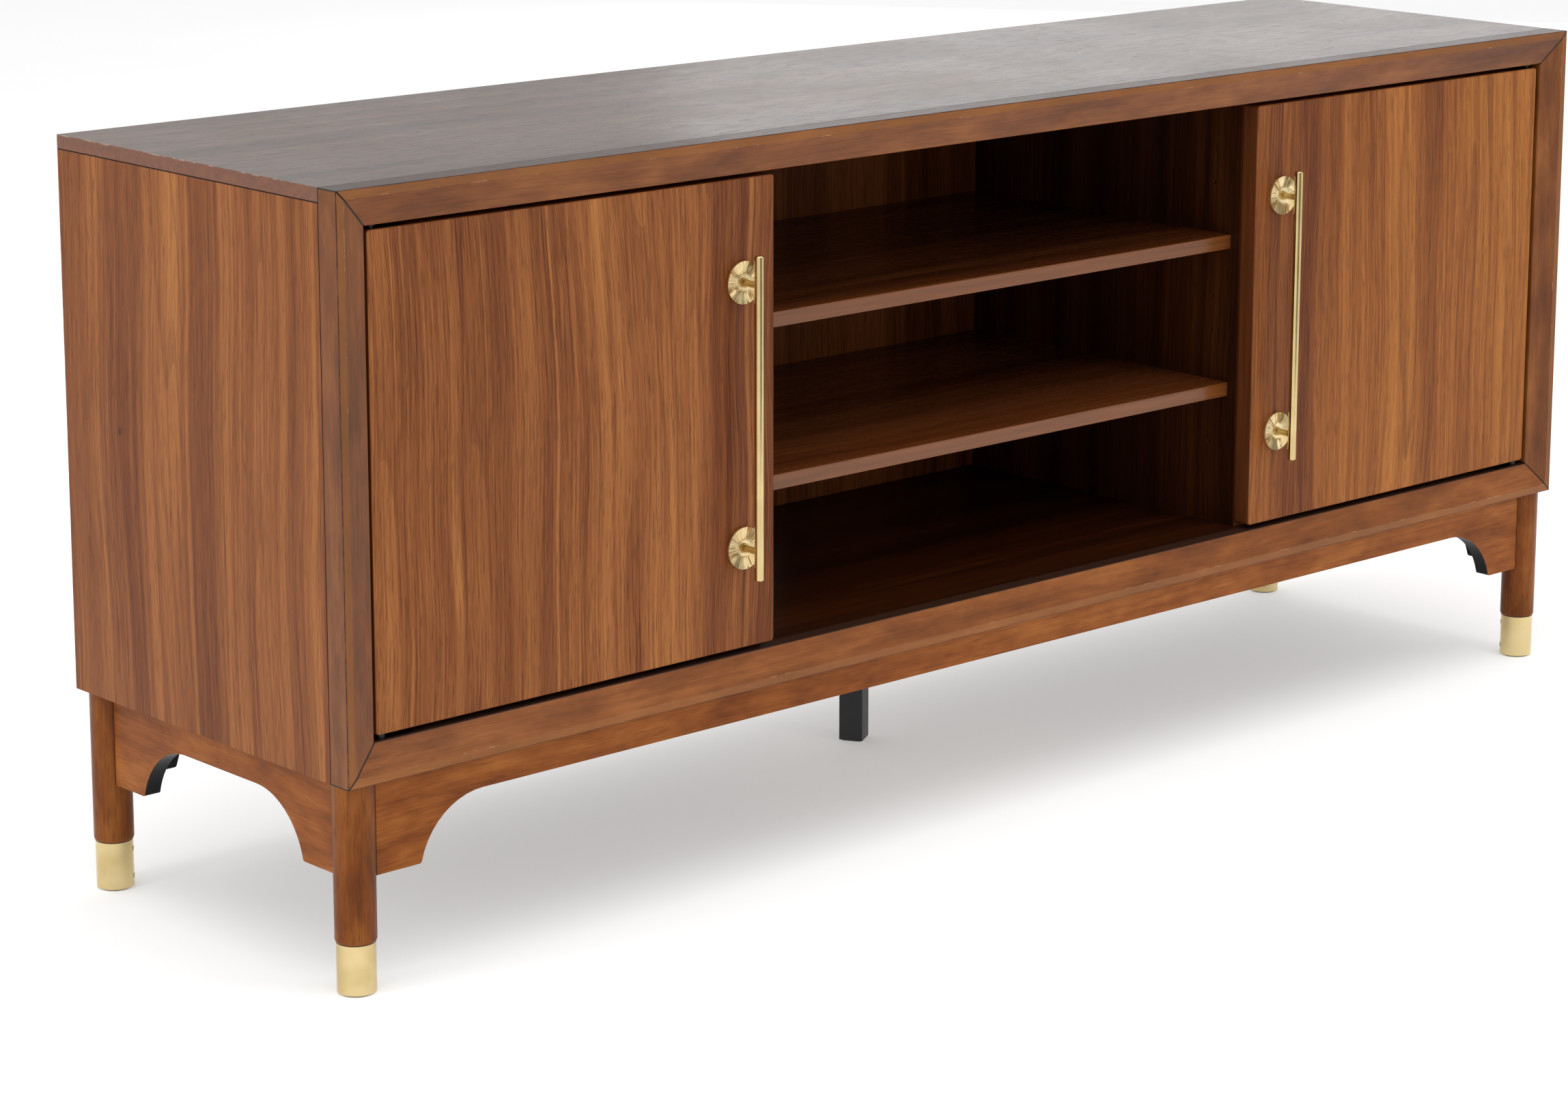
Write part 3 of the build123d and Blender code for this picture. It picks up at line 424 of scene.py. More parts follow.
@dataclass(frozen=True)
class Walnut:
    """Lacquered walnut veneer or solid wood, drawn through the board along its grain."""

    name: str
    grain: Grain
    dark: Colour
    middle: Colour
    light: Colour
    band: float = 42 * MM
    streak: float = 7 * MM
    sway: float = 9 * MM
    rings: float = 0.35
    ring_count: float = 22.0
    knots: float = 0.7
    gold: float = 0.3
    leaf: float = 0.0
    leaf_contrast: float = 0.10
    pores: float = 0.45
    contrast: float = 1.0
    gloss: float = 0.34
    shine: float = 0.12
    seed: float = 0.0
    figures: tuple[Figure, ...] = ()
    leaves: Tones = ()
    edge: Colour | None = None
    face: Way | None = None
    paint: Colour | None = None
    mottle: float = 0.0
    leg_joints: tuple[LegJoint, ...] = ()
    seams: tuple[Seam, ...] = ()
    scuffs: tuple[Scuff, ...] = ()

    def grain_place(self, draw: NodeSketch) -> tuple[Socket, Socket | None, Socket]:
        """Coordinates across, through and along the grain, bent a little and shifted by leaf.

        Args:
            draw: The material being drawn.

        Returns:
            The coordinates, each veneer leaf's own tone or None, and the bent place across.
        """
        axes = draw.axes("Object")
        across, through, along = (axes[letter] for letter in self.grain.value)
        along = draw.math("ADD", along, self.seed)
        tone = None
        drift = draw.noise(draw.vector(across, through, along), DRIFT_SCALE, 1.0)
        shift = draw.times(draw.math("SUBTRACT", drift, 0.5), self.sway * 4)
        bent = draw.math("ADD", across, shift)
        if self.leaf:
            counted = draw.math("ADD", across, LEAF_START)
            number = draw.math("FLOOR", draw.math("DIVIDE", counted, self.leaf))
            tone = draw.chance(draw.math("ADD", number, self.seed))
            shift = draw.math("ADD", shift, draw.times(tone, 2.0))
        return draw.vector(draw.math("ADD", across, shift), through, along), tone, bent

    def draw_figures(self, draw: NodeSketch, colour: Socket, bent: Socket, lines: Socket) -> Socket:
        """Golden streaks and bundles of dark lines that wander along the board.

        Args:
            draw: The material being drawn.
            colour: The wood so far.
            bent: The bent place across the grain.
            lines: The fine line field.

        Returns:
            The colour with its figures.
        """
        along = draw.axes("Object")[self.grain.value[2]]
        fine = draw.spread(lines, 0.46, 0.60)
        gold = toned(self.light, 1.12)
        deep = (self.dark[0] * 0.9, self.dark[1] * 0.6, self.dark[2] * 0.5)
        for figure in self.figures:
            wander = draw.times(along, FIGURE_WANDER)
            place = draw.vector(wander, figure.place * FIGURE_APART, self.seed)
            fade = draw.noise(place, (1.0, 1.0, 1.0), 2.0)
            fade = draw.spread(fade, 0.34, 0.60, 0.25, figure.strength)
            off = draw.apart(bent, figure.place)
            mask = draw.spread(off, figure.half_width * 0.25, figure.half_width, 1.0, 0.0)
            mask = draw.times(mask, fade)
            if not figure.golden:
                mask = draw.times(mask, fine)
            colour = draw.mix(mask, colour, gold if figure.golden else deep)
        return colour

    def surface(self, draw: NodeSketch) -> tuple[Socket, Socket, Socket]:
        """Colour and relief of the wood itself.

        Args:
            draw: The material being drawn.

        Returns:
            Colour, pore mask and fibre field.
        """
        place, leaf_tone, bent = self.grain_place(draw)
        wide, narrow = 1 / self.band, 1 / self.streak
        bands = draw.noise(place, (wide, wide, 0.7), 2.0)
        streaks = draw.noise(place, (narrow, narrow, 1.8), 3.0, 0.55)
        lines = draw.noise(place, LINE_SCALE, 3.0, 0.6)
        fibres = draw.noise(place, FIBRE_SCALE, 2.0)
        cloud = draw.noise(place, MOTTLE_SCALE, 3.0, 0.6)
        plain = 1.0 - self.mottle
        tone = draw.times(bands, BAND_SHARE * plain)
        for share, layer in ((self.mottle, cloud), (STREAK_SHARE * plain, streaks),
                             (LINE_SHARE * plain, lines), (FIBRE_SHARE * plain, fibres)):
            tone = draw.math("ADD", tone, draw.times(layer, share))
        if leaf_tone is not None:
            lift = draw.times(draw.math("SUBTRACT", leaf_tone, 0.5), self.leaf_contrast)
            tone = draw.math("ADD", tone, lift)
        if self.leaves:
            first, last = self.leaves[0][0], self.leaves[-1][0]
            share = draw.math("DIVIDE", draw.math("SUBTRACT", bent, first), last - first)
            stops = [((x - first) / (last - first), (0.5 + lift,) * 3) for x, lift in self.leaves]
            tone = draw.math("ADD", tone, draw.math("SUBTRACT", draw.ramp(share, stops), 0.5))
        half = TONE_HALF_RANGE / self.contrast
        colour = draw.ramp(tone, [(0.5 - half, self.dark), (0.5, self.middle),
                                  (0.5 + half, self.light)])
        growth = draw.noise(place, (wide * 0.9, wide * 0.9, 0.5), 1.5)
        ring = draw.math("FRACT", draw.times(growth, self.ring_count))
        line = draw.spread(ring, 0.62, 0.96)
        line = draw.times(line, draw.spread(bands, 0.36, 0.60))
        colour = draw.mix(draw.times(line, self.rings), colour, self.dark)
        vein = draw.noise(place, VEIN_SCALE, 2.0)
        vein = draw.times(draw.spread(vein, 0.60, 0.72), self.gold)
        colour = draw.mix(vein, colour, toned(self.light, 1.25))
        colour = self.draw_figures(draw, colour, bent, lines)
        knot = draw.node("TexVoronoi", Vector=draw.stretched(place, KNOT_SCALE), Scale=1.0)
        pin = draw.spread(knot.outputs["Distance"], 0.006, 0.016, self.knots, 0.0)
        colour = draw.mix(pin, colour, toned(self.dark, 0.3))
        dashes = draw.noise(place, PORE_SCALE, 1.0)
        pores = draw.spread(dashes, 0.57, 0.68)
        depth = draw.times(pores, self.pores)
        colour = draw.mix(depth, colour, toned(self.dark, 0.38))
        return colour, pores, fibres

    def marks(self, draw: NodeSketch, colour: Socket) -> Socket:
        """Edge banding, paint, joint lines and worn arrises over the wood.

        Args:
            draw: The material being drawn.
            colour: The wood's colour.

        Returns:
            The colour with its marks.
        """
        if self.edge is not None:
            axis = self.grain.value[1]
            flat = draw.spread(draw.math("ABSOLUTE", draw.axes("Normal")[axis]), 0.5, 0.8)
            grain = draw.noise(self.grain_place(draw)[0], EDGE_SCALE, 4.0, 0.6)
            band = draw.ramp(grain, [(0.32, toned(self.edge, 0.78)), (0.68, toned(self.edge, 1.18))])
            colour = draw.mix(flat, band, colour)
        if self.face is not None and self.paint is not None:
            colour = draw.mix(draw.facing(self.face), self.paint, colour)
        wear = draw.noise(draw.here(), WEAR_SCALE, 3.0, 0.7)
        for scuff in self.scuffs:
            line = draw.times(draw.near(scuff.first_axis, scuff.first_place, scuff.half_width),
                              draw.near(scuff.second_axis, scuff.second_place, scuff.half_width))
            line = draw.times(line, draw.spread(wear, 0.47, 0.62, 0.0, scuff.strength))
            colour = draw.mix(line, colour, SCUFF_PALE)
        for joint in self.leg_joints:
            side = draw.math("SUBTRACT", draw.axes("Object")["X"], joint.x)
            front = draw.math("SUBTRACT", draw.axes("Object")["Y"], joint.y)
            reach = draw.math("ADD", draw.times(side, side), draw.times(front, front))
            reach = draw.math("SQRT", reach)
            line = draw.spread(reach, joint.radius + 0.7 * MM, joint.radius + 1.5 * MM, 0.9, 0.0)
            colour = draw.mix(line, colour, JOINT_BLACK)
        for seam in self.seams:
            line = draw.near(seam.axis, seam.place, seam.half_width)
            colour = draw.mix(draw.times(line, 0.9), colour, GROOVE_BLACK)
        return colour

    def material(self) -> Material:
        """Draw the whole finish.

        Returns:
            The material.
        """
        draw = NodeSketch(self.name)
        colour, pores, fibres = self.surface(draw)
        colour = self.marks(draw, colour)
        cloud = draw.noise(draw.here(), GLOSS_SCALE, 3.0)
        rough = draw.spread(cloud, 0.3, 0.7, self.gloss * 0.95, self.gloss * 1.07)
        rough = draw.math("ADD", rough, draw.times(pores, 0.08))
        relief = draw.math("SUBTRACT", draw.times(fibres, 0.4), pores)
        normal = draw.bump(relief, PORE_DEPTH)
        return draw.finish(Base_Color=colour, Roughness=rough, Normal=normal,
                           Specular_IOR_Level=self.shine)


@dataclass(frozen=True)
class MitredWalnut(Walnut):
    """Solid walnut of the front frame, with its lighter outer strip, partly its own tone and partly
    painted light, and dark mitre lines.
    """

    # The strip colour is partly the wood's own tone and partly painted light for the flat face's
    # brighter look.
    strip: Colour = (0.27, 0.105, 0.026)
    strip_width: float = 8.5 * MM
    strip_blend: float = 0.42
    mitre_half_width: float = 0.8 * MM
    upper_face: Colour = (0.045, 0.020, 0.012)
    worn_arris: Colour = (0.48, 0.30, 0.16)
    darker_outer_arris: Colour = (0.03, 0.009, 0.006)
    mitre_line: Colour = (0.006, 0.003, 0.002)

    def marks(self, draw: NodeSketch, colour: Socket) -> Socket:
        """The outer strip, lighter partly as painted light, its worn arris, the mitres and the shared
        marks.

        Args:
            draw: The material being drawn.
            colour: The wood's colour.

        Returns:
            The colour with its marks.
        """
        low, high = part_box("frame_left_stile")[0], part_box("frame_right_stile")[1]
        axes = draw.axes("Object")
        half_height, middle = (high.z - low.z) / 2, (high.z + low.z) / 2
        from_side = draw.math("SUBTRACT", high.x, draw.math("ABSOLUTE", axes["X"]))
        level = draw.apart(axes["Z"], middle)
        from_end = draw.math("SUBTRACT", half_height, level)
        inset = draw.math("MINIMUM", from_side, from_end)
        front = draw.facing(Way.FRONT)
        # Front faces of the outer strip are lightened: partly their own tone, partly painted light.
        outer = draw.spread(inset, self.strip_width - 0.4 * MM, self.strip_width + 0.4 * MM, 1.0, 0.0)
        outer = draw.times(draw.times(outer, front), self.strip_blend)
        colour = draw.mix(outer, colour, self.strip)
        wear = draw.noise(draw.here(), FRAME_WEAR_SCALE, 4.0, 0.75)
        arris = draw.apart(inset, self.strip_width)
        worn = draw.times(draw.spread(arris, 0.15 * MM, 0.5 * MM, 1.0, 0.0),
                          draw.spread(wear, 0.54, 0.66, 0.0, 0.6))
        colour = draw.mix(draw.times(worn, front), colour, self.worn_arris)
        # Darker along the outer front arris, varying with a noise.
        edge_y = draw.apart(axes["Y"], low.y)
        corner = draw.math("MAXIMUM", inset, edge_y)
        outer_arris_dark = draw.times(draw.spread(corner, 0.5 * MM, 1.1 * MM, 1.0, 0.0),
                            draw.spread(wear, 0.38, 0.60, 0.45, 0.95))
        colour = draw.mix(outer_arris_dark, colour, self.darker_outer_arris)
        mitre = draw.apart(from_side, from_end)
        colour = draw.mix(draw.facing(Way.UP), colour, self.upper_face)
        line = draw.spread(mitre, self.mitre_half_width, self.mitre_half_width * 2.2, 1.0, 0.0)
        colour = draw.mix(draw.times(line, 0.95), colour, self.mitre_line)
        return super().marks(draw, colour)


@dataclass(frozen=True)
class SatinMetal:
    """Brushed metal with fine lines round or along the piece."""

    name: str
    colour: Colour
    shade: Colour
    rough: float = 0.28
    lines: Place = (60.0, 60.0, 5000.0)
    depth: float = 0.01 * MM

    def material(self) -> Material:
        """Draw the finish.

        Returns:
            The material.
        """
        draw = NodeSketch(self.name)
        place = draw.here()
        brushed = draw.noise(place, self.lines, 2.0)
        cloud = draw.noise(place, (25.0, 25.0, 25.0), 3.0)
        colour = draw.mix(draw.spread(cloud, 0.35, 0.7), self.colour, self.shade)
        rough = draw.spread(brushed, 0.3, 0.7, self.rough * 0.8, self.rough * 1.3)
        return draw.finish(Base_Color=colour, Metallic=1.0, Roughness=rough,
                           Normal=draw.bump(brushed, self.depth))


@dataclass(frozen=True)
class SatinPaint:
    """Paint, plastic or rubber with a faint orange-peel surface and dusty patches."""

    name: str
    colour: Colour
    dusty: Colour
    rough: float = 0.45
    peel: float = 0.02 * MM
    peel_scale: float = 900.0

    def material(self) -> Material:
        """Draw the finish.

        Returns:
            The material.
        """
        draw = NodeSketch(self.name)
        place = draw.here()
        cloud = draw.noise(place, (18.0, 18.0, 18.0), 4.0, 0.6)
        fine = draw.noise(place, (self.peel_scale,) * 3, 2.0)
        colour = draw.mix(draw.spread(cloud, 0.4, 0.75), self.colour, self.dusty)
        rough = draw.spread(cloud, 0.3, 0.7, self.rough * 0.85, self.rough * 1.2)
        return draw.finish(Base_Color=colour, Roughness=rough, Normal=draw.bump(fine, self.peel))


@dataclass(frozen=True)
class RawWood:
    """Plain sawn or planed secondary wood: dowels, blocks and battens."""

    name: str
    pale: Colour
    deep: Colour
    grain: Grain = Grain.LEVEL_FRONT

    def material(self) -> Material:
        """Draw the finish.

        Returns:
            The material.
        """
        draw = NodeSketch(self.name)
        axes = draw.axes("Object")
        place = draw.vector(*(axes[letter] for letter in self.grain.value))
        rings = draw.noise(place, (90.0, 90.0, 3.0), 4.0, 0.65)
        fuzz = draw.noise(place, (1400.0, 1400.0, 90.0), 2.0)
        colour = draw.ramp(rings, [(0.35, self.deep), (0.65, self.pale)])
        rough = draw.spread(fuzz, 0.3, 0.7, 0.55, 0.75)
        return draw.finish(Base_Color=colour, Roughness=rough, Normal=draw.bump(fuzz, 0.06 * MM))


Finish = Walnut | SatinMetal | SatinPaint | RawWood


def dress(finish: Finish, *names: str) -> Material:
    """Give every material slot of some CAD nodes one finish, and report each node.

    Args:
        finish: What they are dressed in.
        *names: The nodes.

    Returns:
        The finish's material.
    """
    material = finish.material()
    for name in names:
        slots = NODES[name].data.materials
        if len(slots) == 0:
            slots.append(material)
        for index in range(len(slots)):
            slots[index] = material
        LOG.info("dressed %s in %s", name, material.name)
    return material


def mesh_object(name: str, mesh: bmesh.types.BMesh, material: Material) -> bpy.types.Object:
    """Turn a finished bmesh into an object of the scene.

    Args:
        name: The object's name.
        mesh: Its shape, in place.
        material: Its finish.

    Returns:
        The new object.
    """
    data = bpy.data.meshes.new(name)
    mesh.to_mesh(data)
    mesh.free()
    data.materials.append(material)
    made = bpy.data.objects.new(name, data)
    bpy.context.scene.collection.objects.link(made)
    return made


def lathe(mesh: bmesh.types.BMesh, profile: Outline, steps: int) -> Verts:
    """Spin a closed profile round the Y axis.

    Args:
        mesh: Where the turned shape goes.
        profile: Radius and height towards -Y of each corner, in order.
        steps: Faces round the axis.

    Returns:
        The new vertices.
    """
    before = set(mesh.verts)
    corners = [mesh.verts.new((radius, -height, 0.0)) for radius, height in profile]
    edges = [mesh.edges.new(pair) for pair in zip(corners, corners[1:] + corners[:1])]
    bmesh.ops.spin(mesh, geom=corners + edges, cent=(0, 0, 0), axis=(0, 1, 0), angle=math.tau,
                   steps=steps, use_merge=True, use_duplicate=False)
    return [vertex for vertex in mesh.verts if vertex not in before]


@dataclass
class Palette:
    """The cabinet's colours: dark, middle and light of each wood, and single tones."""

    walnut: Wood = ((0.098, 0.023, 0.006), (0.240, 0.076, 0.020), (0.385, 0.147, 0.040))
    golden: Wood = ((0.098, 0.023, 0.006), (0.275, 0.088, 0.018), (0.410, 0.155, 0.034))
    solid: Wood = ((0.095, 0.026, 0.005), (0.168, 0.050, 0.010), (0.255, 0.086, 0.019))
    leg: Wood = ((0.110, 0.028, 0.005), (0.190, 0.054, 0.009), (0.285, 0.094, 0.018))
    apron: Wood = ((0.150, 0.036, 0.005), (0.255, 0.073, 0.011), (0.360, 0.118, 0.022))
    top: Wood = ((0.036, 0.017, 0.010), (0.080, 0.040, 0.025), (0.132, 0.068, 0.042))
    # The inside tones are partly the darker inside veneer and partly painted shade of the bays; the
    # bottom and divider tones are painted shade, darkened nearly to black for the shade on the bays'
    # floor and dividers.
    inside: Wood = ((0.042, 0.009, 0.002), (0.120, 0.030, 0.007), (0.200, 0.058, 0.014))
    bottom: Wood = ((0.022, 0.006, 0.002), (0.042, 0.009, 0.002), (0.120, 0.030, 0.007))
    divider: Wood = ((0.022, 0.006, 0.002), (0.052, 0.014, 0.004), (0.090, 0.026, 0.007))
    edge_band: Colour = (0.155, 0.046, 0.014)
    door_edge: Colour = (0.12, 0.034, 0.010)
    shelf_edge: Colour = (0.160, 0.050, 0.011)
    divider_edge: Colour = (0.120, 0.030, 0.007)
    back_stain: Colour = (0.035, 0.018, 0.010)
    black: Colour = (0.008, 0.008, 0.009)
    brass: Colour = (0.64, 0.50, 0.25)
    brass_shade: Colour = (0.56, 0.42, 0.19)


@dataclass
class Carcass:
    """Top, sides, bottom, dividers and backs."""

    colours: Palette
    top_leaf: float = 148 * MM
    side_leaf: float = 152 * MM
    back_leaf: float = 120 * MM
    side_leaves: Tones = (
        (-0.22, -0.005), (-0.16, 0.01), (-0.12, 0.01), (-0.085, -0.02), (-0.03, -0.01), (0.03, 0.005),
        (0.09, 0.01), (0.125, -0.02), (0.175, 0.0), (0.23, -0.02),
    )
    side_figures: tuple[Figure, ...] = (
        Figure(0.092, 0.010, 0.35), Figure(-0.135, 0.010, 0.35), Figure(0.022, 0.004, 0.40),
        Figure(-0.185, 0.006, 0.35), Figure(0.178, 0.004, 0.35), Figure(-0.035, 0.003, 0.40),
        Figure(0.130, 0.010, 0.75, False), Figure(-0.080, 0.011, 0.75, False),
        Figure(0.000, 0.014, 0.55, False), Figure(0.205, 0.012, 0.50, False),
    )

    def dress_top(self) -> None:
        """The top: long grain, nearly closed pores and a reddish banded edge."""
        low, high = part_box("top_board")
        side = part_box("left_side_panel")[1].z
        dress(Walnut(
            "top_veneer", Grain.LEVEL_TOP, *self.colours.top, band=55 * MM, streak=9 * MM,
            gold=0.1, leaf=self.top_leaf, leaf_contrast=0.05, gloss=0.27, shine=0.5,
            seed=3.1, edge=self.colours.edge_band,
            seams=(Seam("Z", side, 0.8 * MM), Seam("Y", low.y, 0.7 * MM)),
            scuffs=(Scuff("X", -high.x, "Z", high.z), Scuff("X", high.x, "Z", high.z),
                    Scuff("Y", high.y, "Z", high.z)),
        ), "top_board")

    def dress_sides(self) -> None:
        """Both side panels, their veneer cut from different leaves."""
        for name, seed in (("left_side_panel", 0.7), ("right_side_panel", 5.3)):
            low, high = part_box(name)
            dress(Walnut(
                name + "_veneer", Grain.UPRIGHT_SIDE, *self.colours.walnut, band=60 * MM,
                streak=8 * MM, sway=12 * MM, rings=0.30, gold=0.12, leaf=self.side_leaf,
                leaf_contrast=0.01, contrast=0.78, gloss=0.36, seed=seed, leaves=self.side_leaves,
                figures=self.side_figures, edge=self.colours.edge_band,
                seams=(Seam("Y", low.y), Seam("Z", high.z)),
                scuffs=(Scuff("Y", high.y, "X", low.x), Scuff("Y", high.y, "X", high.x)),
            ), name)

    def dress_inside(self) -> None:
        """Bottom board, dividers and back panels in the darker inside veneer, darkened further as
        painted shade of the bays.
        """
        colours = self.colours
        dress(Walnut("bottom_veneer", Grain.LEVEL_TOP, *colours.bottom, band=50 * MM, rings=0.2,
                     knots=0.0, pores=0.2, leaf=self.top_leaf, gloss=0.30, seed=2.2), "bottom_board")
        for name, seed in (("left_divider", 1.4), ("right_divider", 6.6)):
            dress(Walnut(name + "_veneer", Grain.UPRIGHT_SIDE, *colours.divider, band=40 * MM,
                         leaf=self.side_leaf, gloss=0.32, seed=seed, edge=colours.divider_edge), name)
        for bay, seed in (("left", 0.9), ("centre", 2.7), ("right", 4.5)):
            dress(Walnut(bay + "_back_veneer", Grain.UPRIGHT_FRONT, *colours.inside, band=34 * MM,
                         leaf=self.back_leaf, leaf_contrast=0.08, seed=seed,
                         face=Way.FRONT, paint=colours.back_stain), bay + "_back_panel")

    def build(self) -> None:
        """Dress every board of the carcass."""
        self.dress_top()
        self.dress_sides()
        self.dress_inside()


@dataclass
class FrontFrame:
    """Four mitred members round the doors and the open bay."""

    colours: Palette

    def build(self) -> None:
        """Dress rails with level grain and stiles with upright grain."""
        members = (
            ("frame_top_rail", Grain.LEVEL_FRONT, 1.3, 1.08),
            ("frame_bottom_rail", Grain.LEVEL_FRONT, 7.9, 1.32),
            ("frame_left_stile", Grain.UPRIGHT_FRONT, 2.4, 0.96),
            ("frame_right_stile", Grain.UPRIGHT_FRONT, 4.8, 1.0),
        )
        for name, grain, seed, lift in members:
            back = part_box(name)[1].y
            dress(MitredWalnut(
                name + "_wood", grain, *(toned(tone, lift) for tone in self.colours.solid),
                mottle=0.5, band=60 * MM, streak=12 * MM, rings=0.30, gold=0.15, pores=0.22,
                contrast=0.78, gloss=0.32, shine=0.22, seed=seed, seams=(Seam("Y", back),),
            ), name)


@dataclass
class Shelves:
    """Two open shelves and one in each cupboard."""

    colours: Palette

    def build(self) -> None:
        """Dress the shelves: dark tops, partly painted shade of the bays, with lighter solid edges."""
        names = ("upper_shelf", "lower_shelf", "left_cupboard_shelf", "right_cupboard_shelf")
        for number, name in enumerate(names):
            dress(Walnut(name + "_veneer", Grain.LEVEL_TOP, *self.colours.inside, band=48 * MM,
                         rings=0.25, knots=0.0, pores=0.25, leaf=150 * MM, gloss=0.24, shine=0.42,
                         seed=1.7 * number, edge=self.colours.shelf_edge), name)


@dataclass
class Rosette:
    """Dished brass disc with hand-cut flutes that run from the rim to the hub."""

    flutes: int = 54
    steps_per_flute: int = 4
    groove: float = 0.7 * MM
    serration: float = 0.22 * MM
    jitter: float = 0.30
    rim_ring: float = 0.5 * MM
    rim_band: float = 1.1 * MM
    profile_rings: int = 7
    hub_share: float = 0.73
    bore_share: float = 0.685
    seat_play: float = 0.1 * MM
    crease: float = 34.0

    def profile(self, radius: float, rim: float, seat: float) -> Outline:
        """Half section of the disc.

        Args:
            radius: Outside radius.
            rim: Thickness at the rim.
            seat: Radius of the collar's seat.

        Returns:
            Radius and height of each corner, from the back of the bore outwards and round.
        """
        bore, centre = seat * self.bore_share, rim * self.hub_share
        outline = [(bore, 0.0), (radius, 0.0), (radius, rim * 0.45), (radius, rim - self.rim_band)]
        start = radius - self.rim_ring
        for ring in range(self.profile_rings + 1):
            share = ring / self.profile_rings
            reach = start + (seat - start) * share
            dish = math.sin(share * math.pi / 2)
            outline.append((reach, rim + (centre - rim) * dish))
        outline.append((bore, centre))
        return outline

    def carve(self, verts: Verts, radius: float, seat: float, rim: float, seed: int) -> None:
        """Sink the flutes and notch the rim.

        Args:
            verts: The disc's vertices, turned round the Y axis.
            radius: Outside radius.
            seat: Where the flutes run out at the hub.
            rim: Thickness at the rim.
            seed: Makes each disc's flutes its own.
        """
        chance = random.Random(seed)
        depth = [1.0 + self.jitter * (chance.random() * 2 - 1) for _ in range(self.flutes)]
        for vertex in verts:
            reach = math.hypot(vertex.co.x, vertex.co.z)
            height = -vertex.co.y
            if height < rim * 0.4 or reach < seat:
                continue
            angle = math.atan2(vertex.co.z, vertex.co.x) % math.tau
            turn = angle / math.tau * self.flutes
            number = int(turn + 0.5) % self.flutes
            valley = 0.5 + 0.5 * math.cos(turn * math.tau)
            if reach > radius - 0.1 * MM:
                pull = 1 - self.serration * valley / radius
                vertex.co.x *= pull
                vertex.co.z *= pull
                if height < rim * 0.6:
                    continue
            fade = min(1.0, (reach - seat) / (radius - seat) * 1.6)
            vertex.co.y += self.groove * valley * depth[number] * fade

    def build(self, side: str, material: Material) -> None:
        """Make the two discs of one handle.

        Args:
            side: "left" or "right".
            material: Their finish.
        """
        name, node = f"{side}_fluted_rosettes", f"{side}_handle_rosettes"
        low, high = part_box(node)
        radius = (high.x - low.x) / 2
        rim = high.y - low.y
        centre_x = (high.x + low.x) / 2
        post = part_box(f"{side}_handle_posts")
        seat = (post[1].x - post[0].x) / 2 + self.seat_play
        mesh = bmesh.new()
        for number, z in enumerate((low.z + radius, high.z - radius)):
            outline = self.profile(radius, rim, seat)
            verts = lathe(mesh, outline, self.flutes * self.steps_per_flute)
            self.carve(verts, radius, seat, rim, len(name) * 10 + number)
            bmesh.ops.translate(mesh, verts=verts, vec=(centre_x, high.y, z))
        bmesh.ops.recalc_face_normals(mesh, faces=mesh.faces)
        piece = mesh_object(name, mesh, material)
        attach(piece, f"{side}_door")
        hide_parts(node)
        for polygon in piece.data.polygons:
            polygon.use_smooth = True
        piece.data.set_sharp_from_angle(angle=math.radians(self.crease))
        LOG.info("built %s with %d faces for %s", name, len(piece.data.polygons), node)


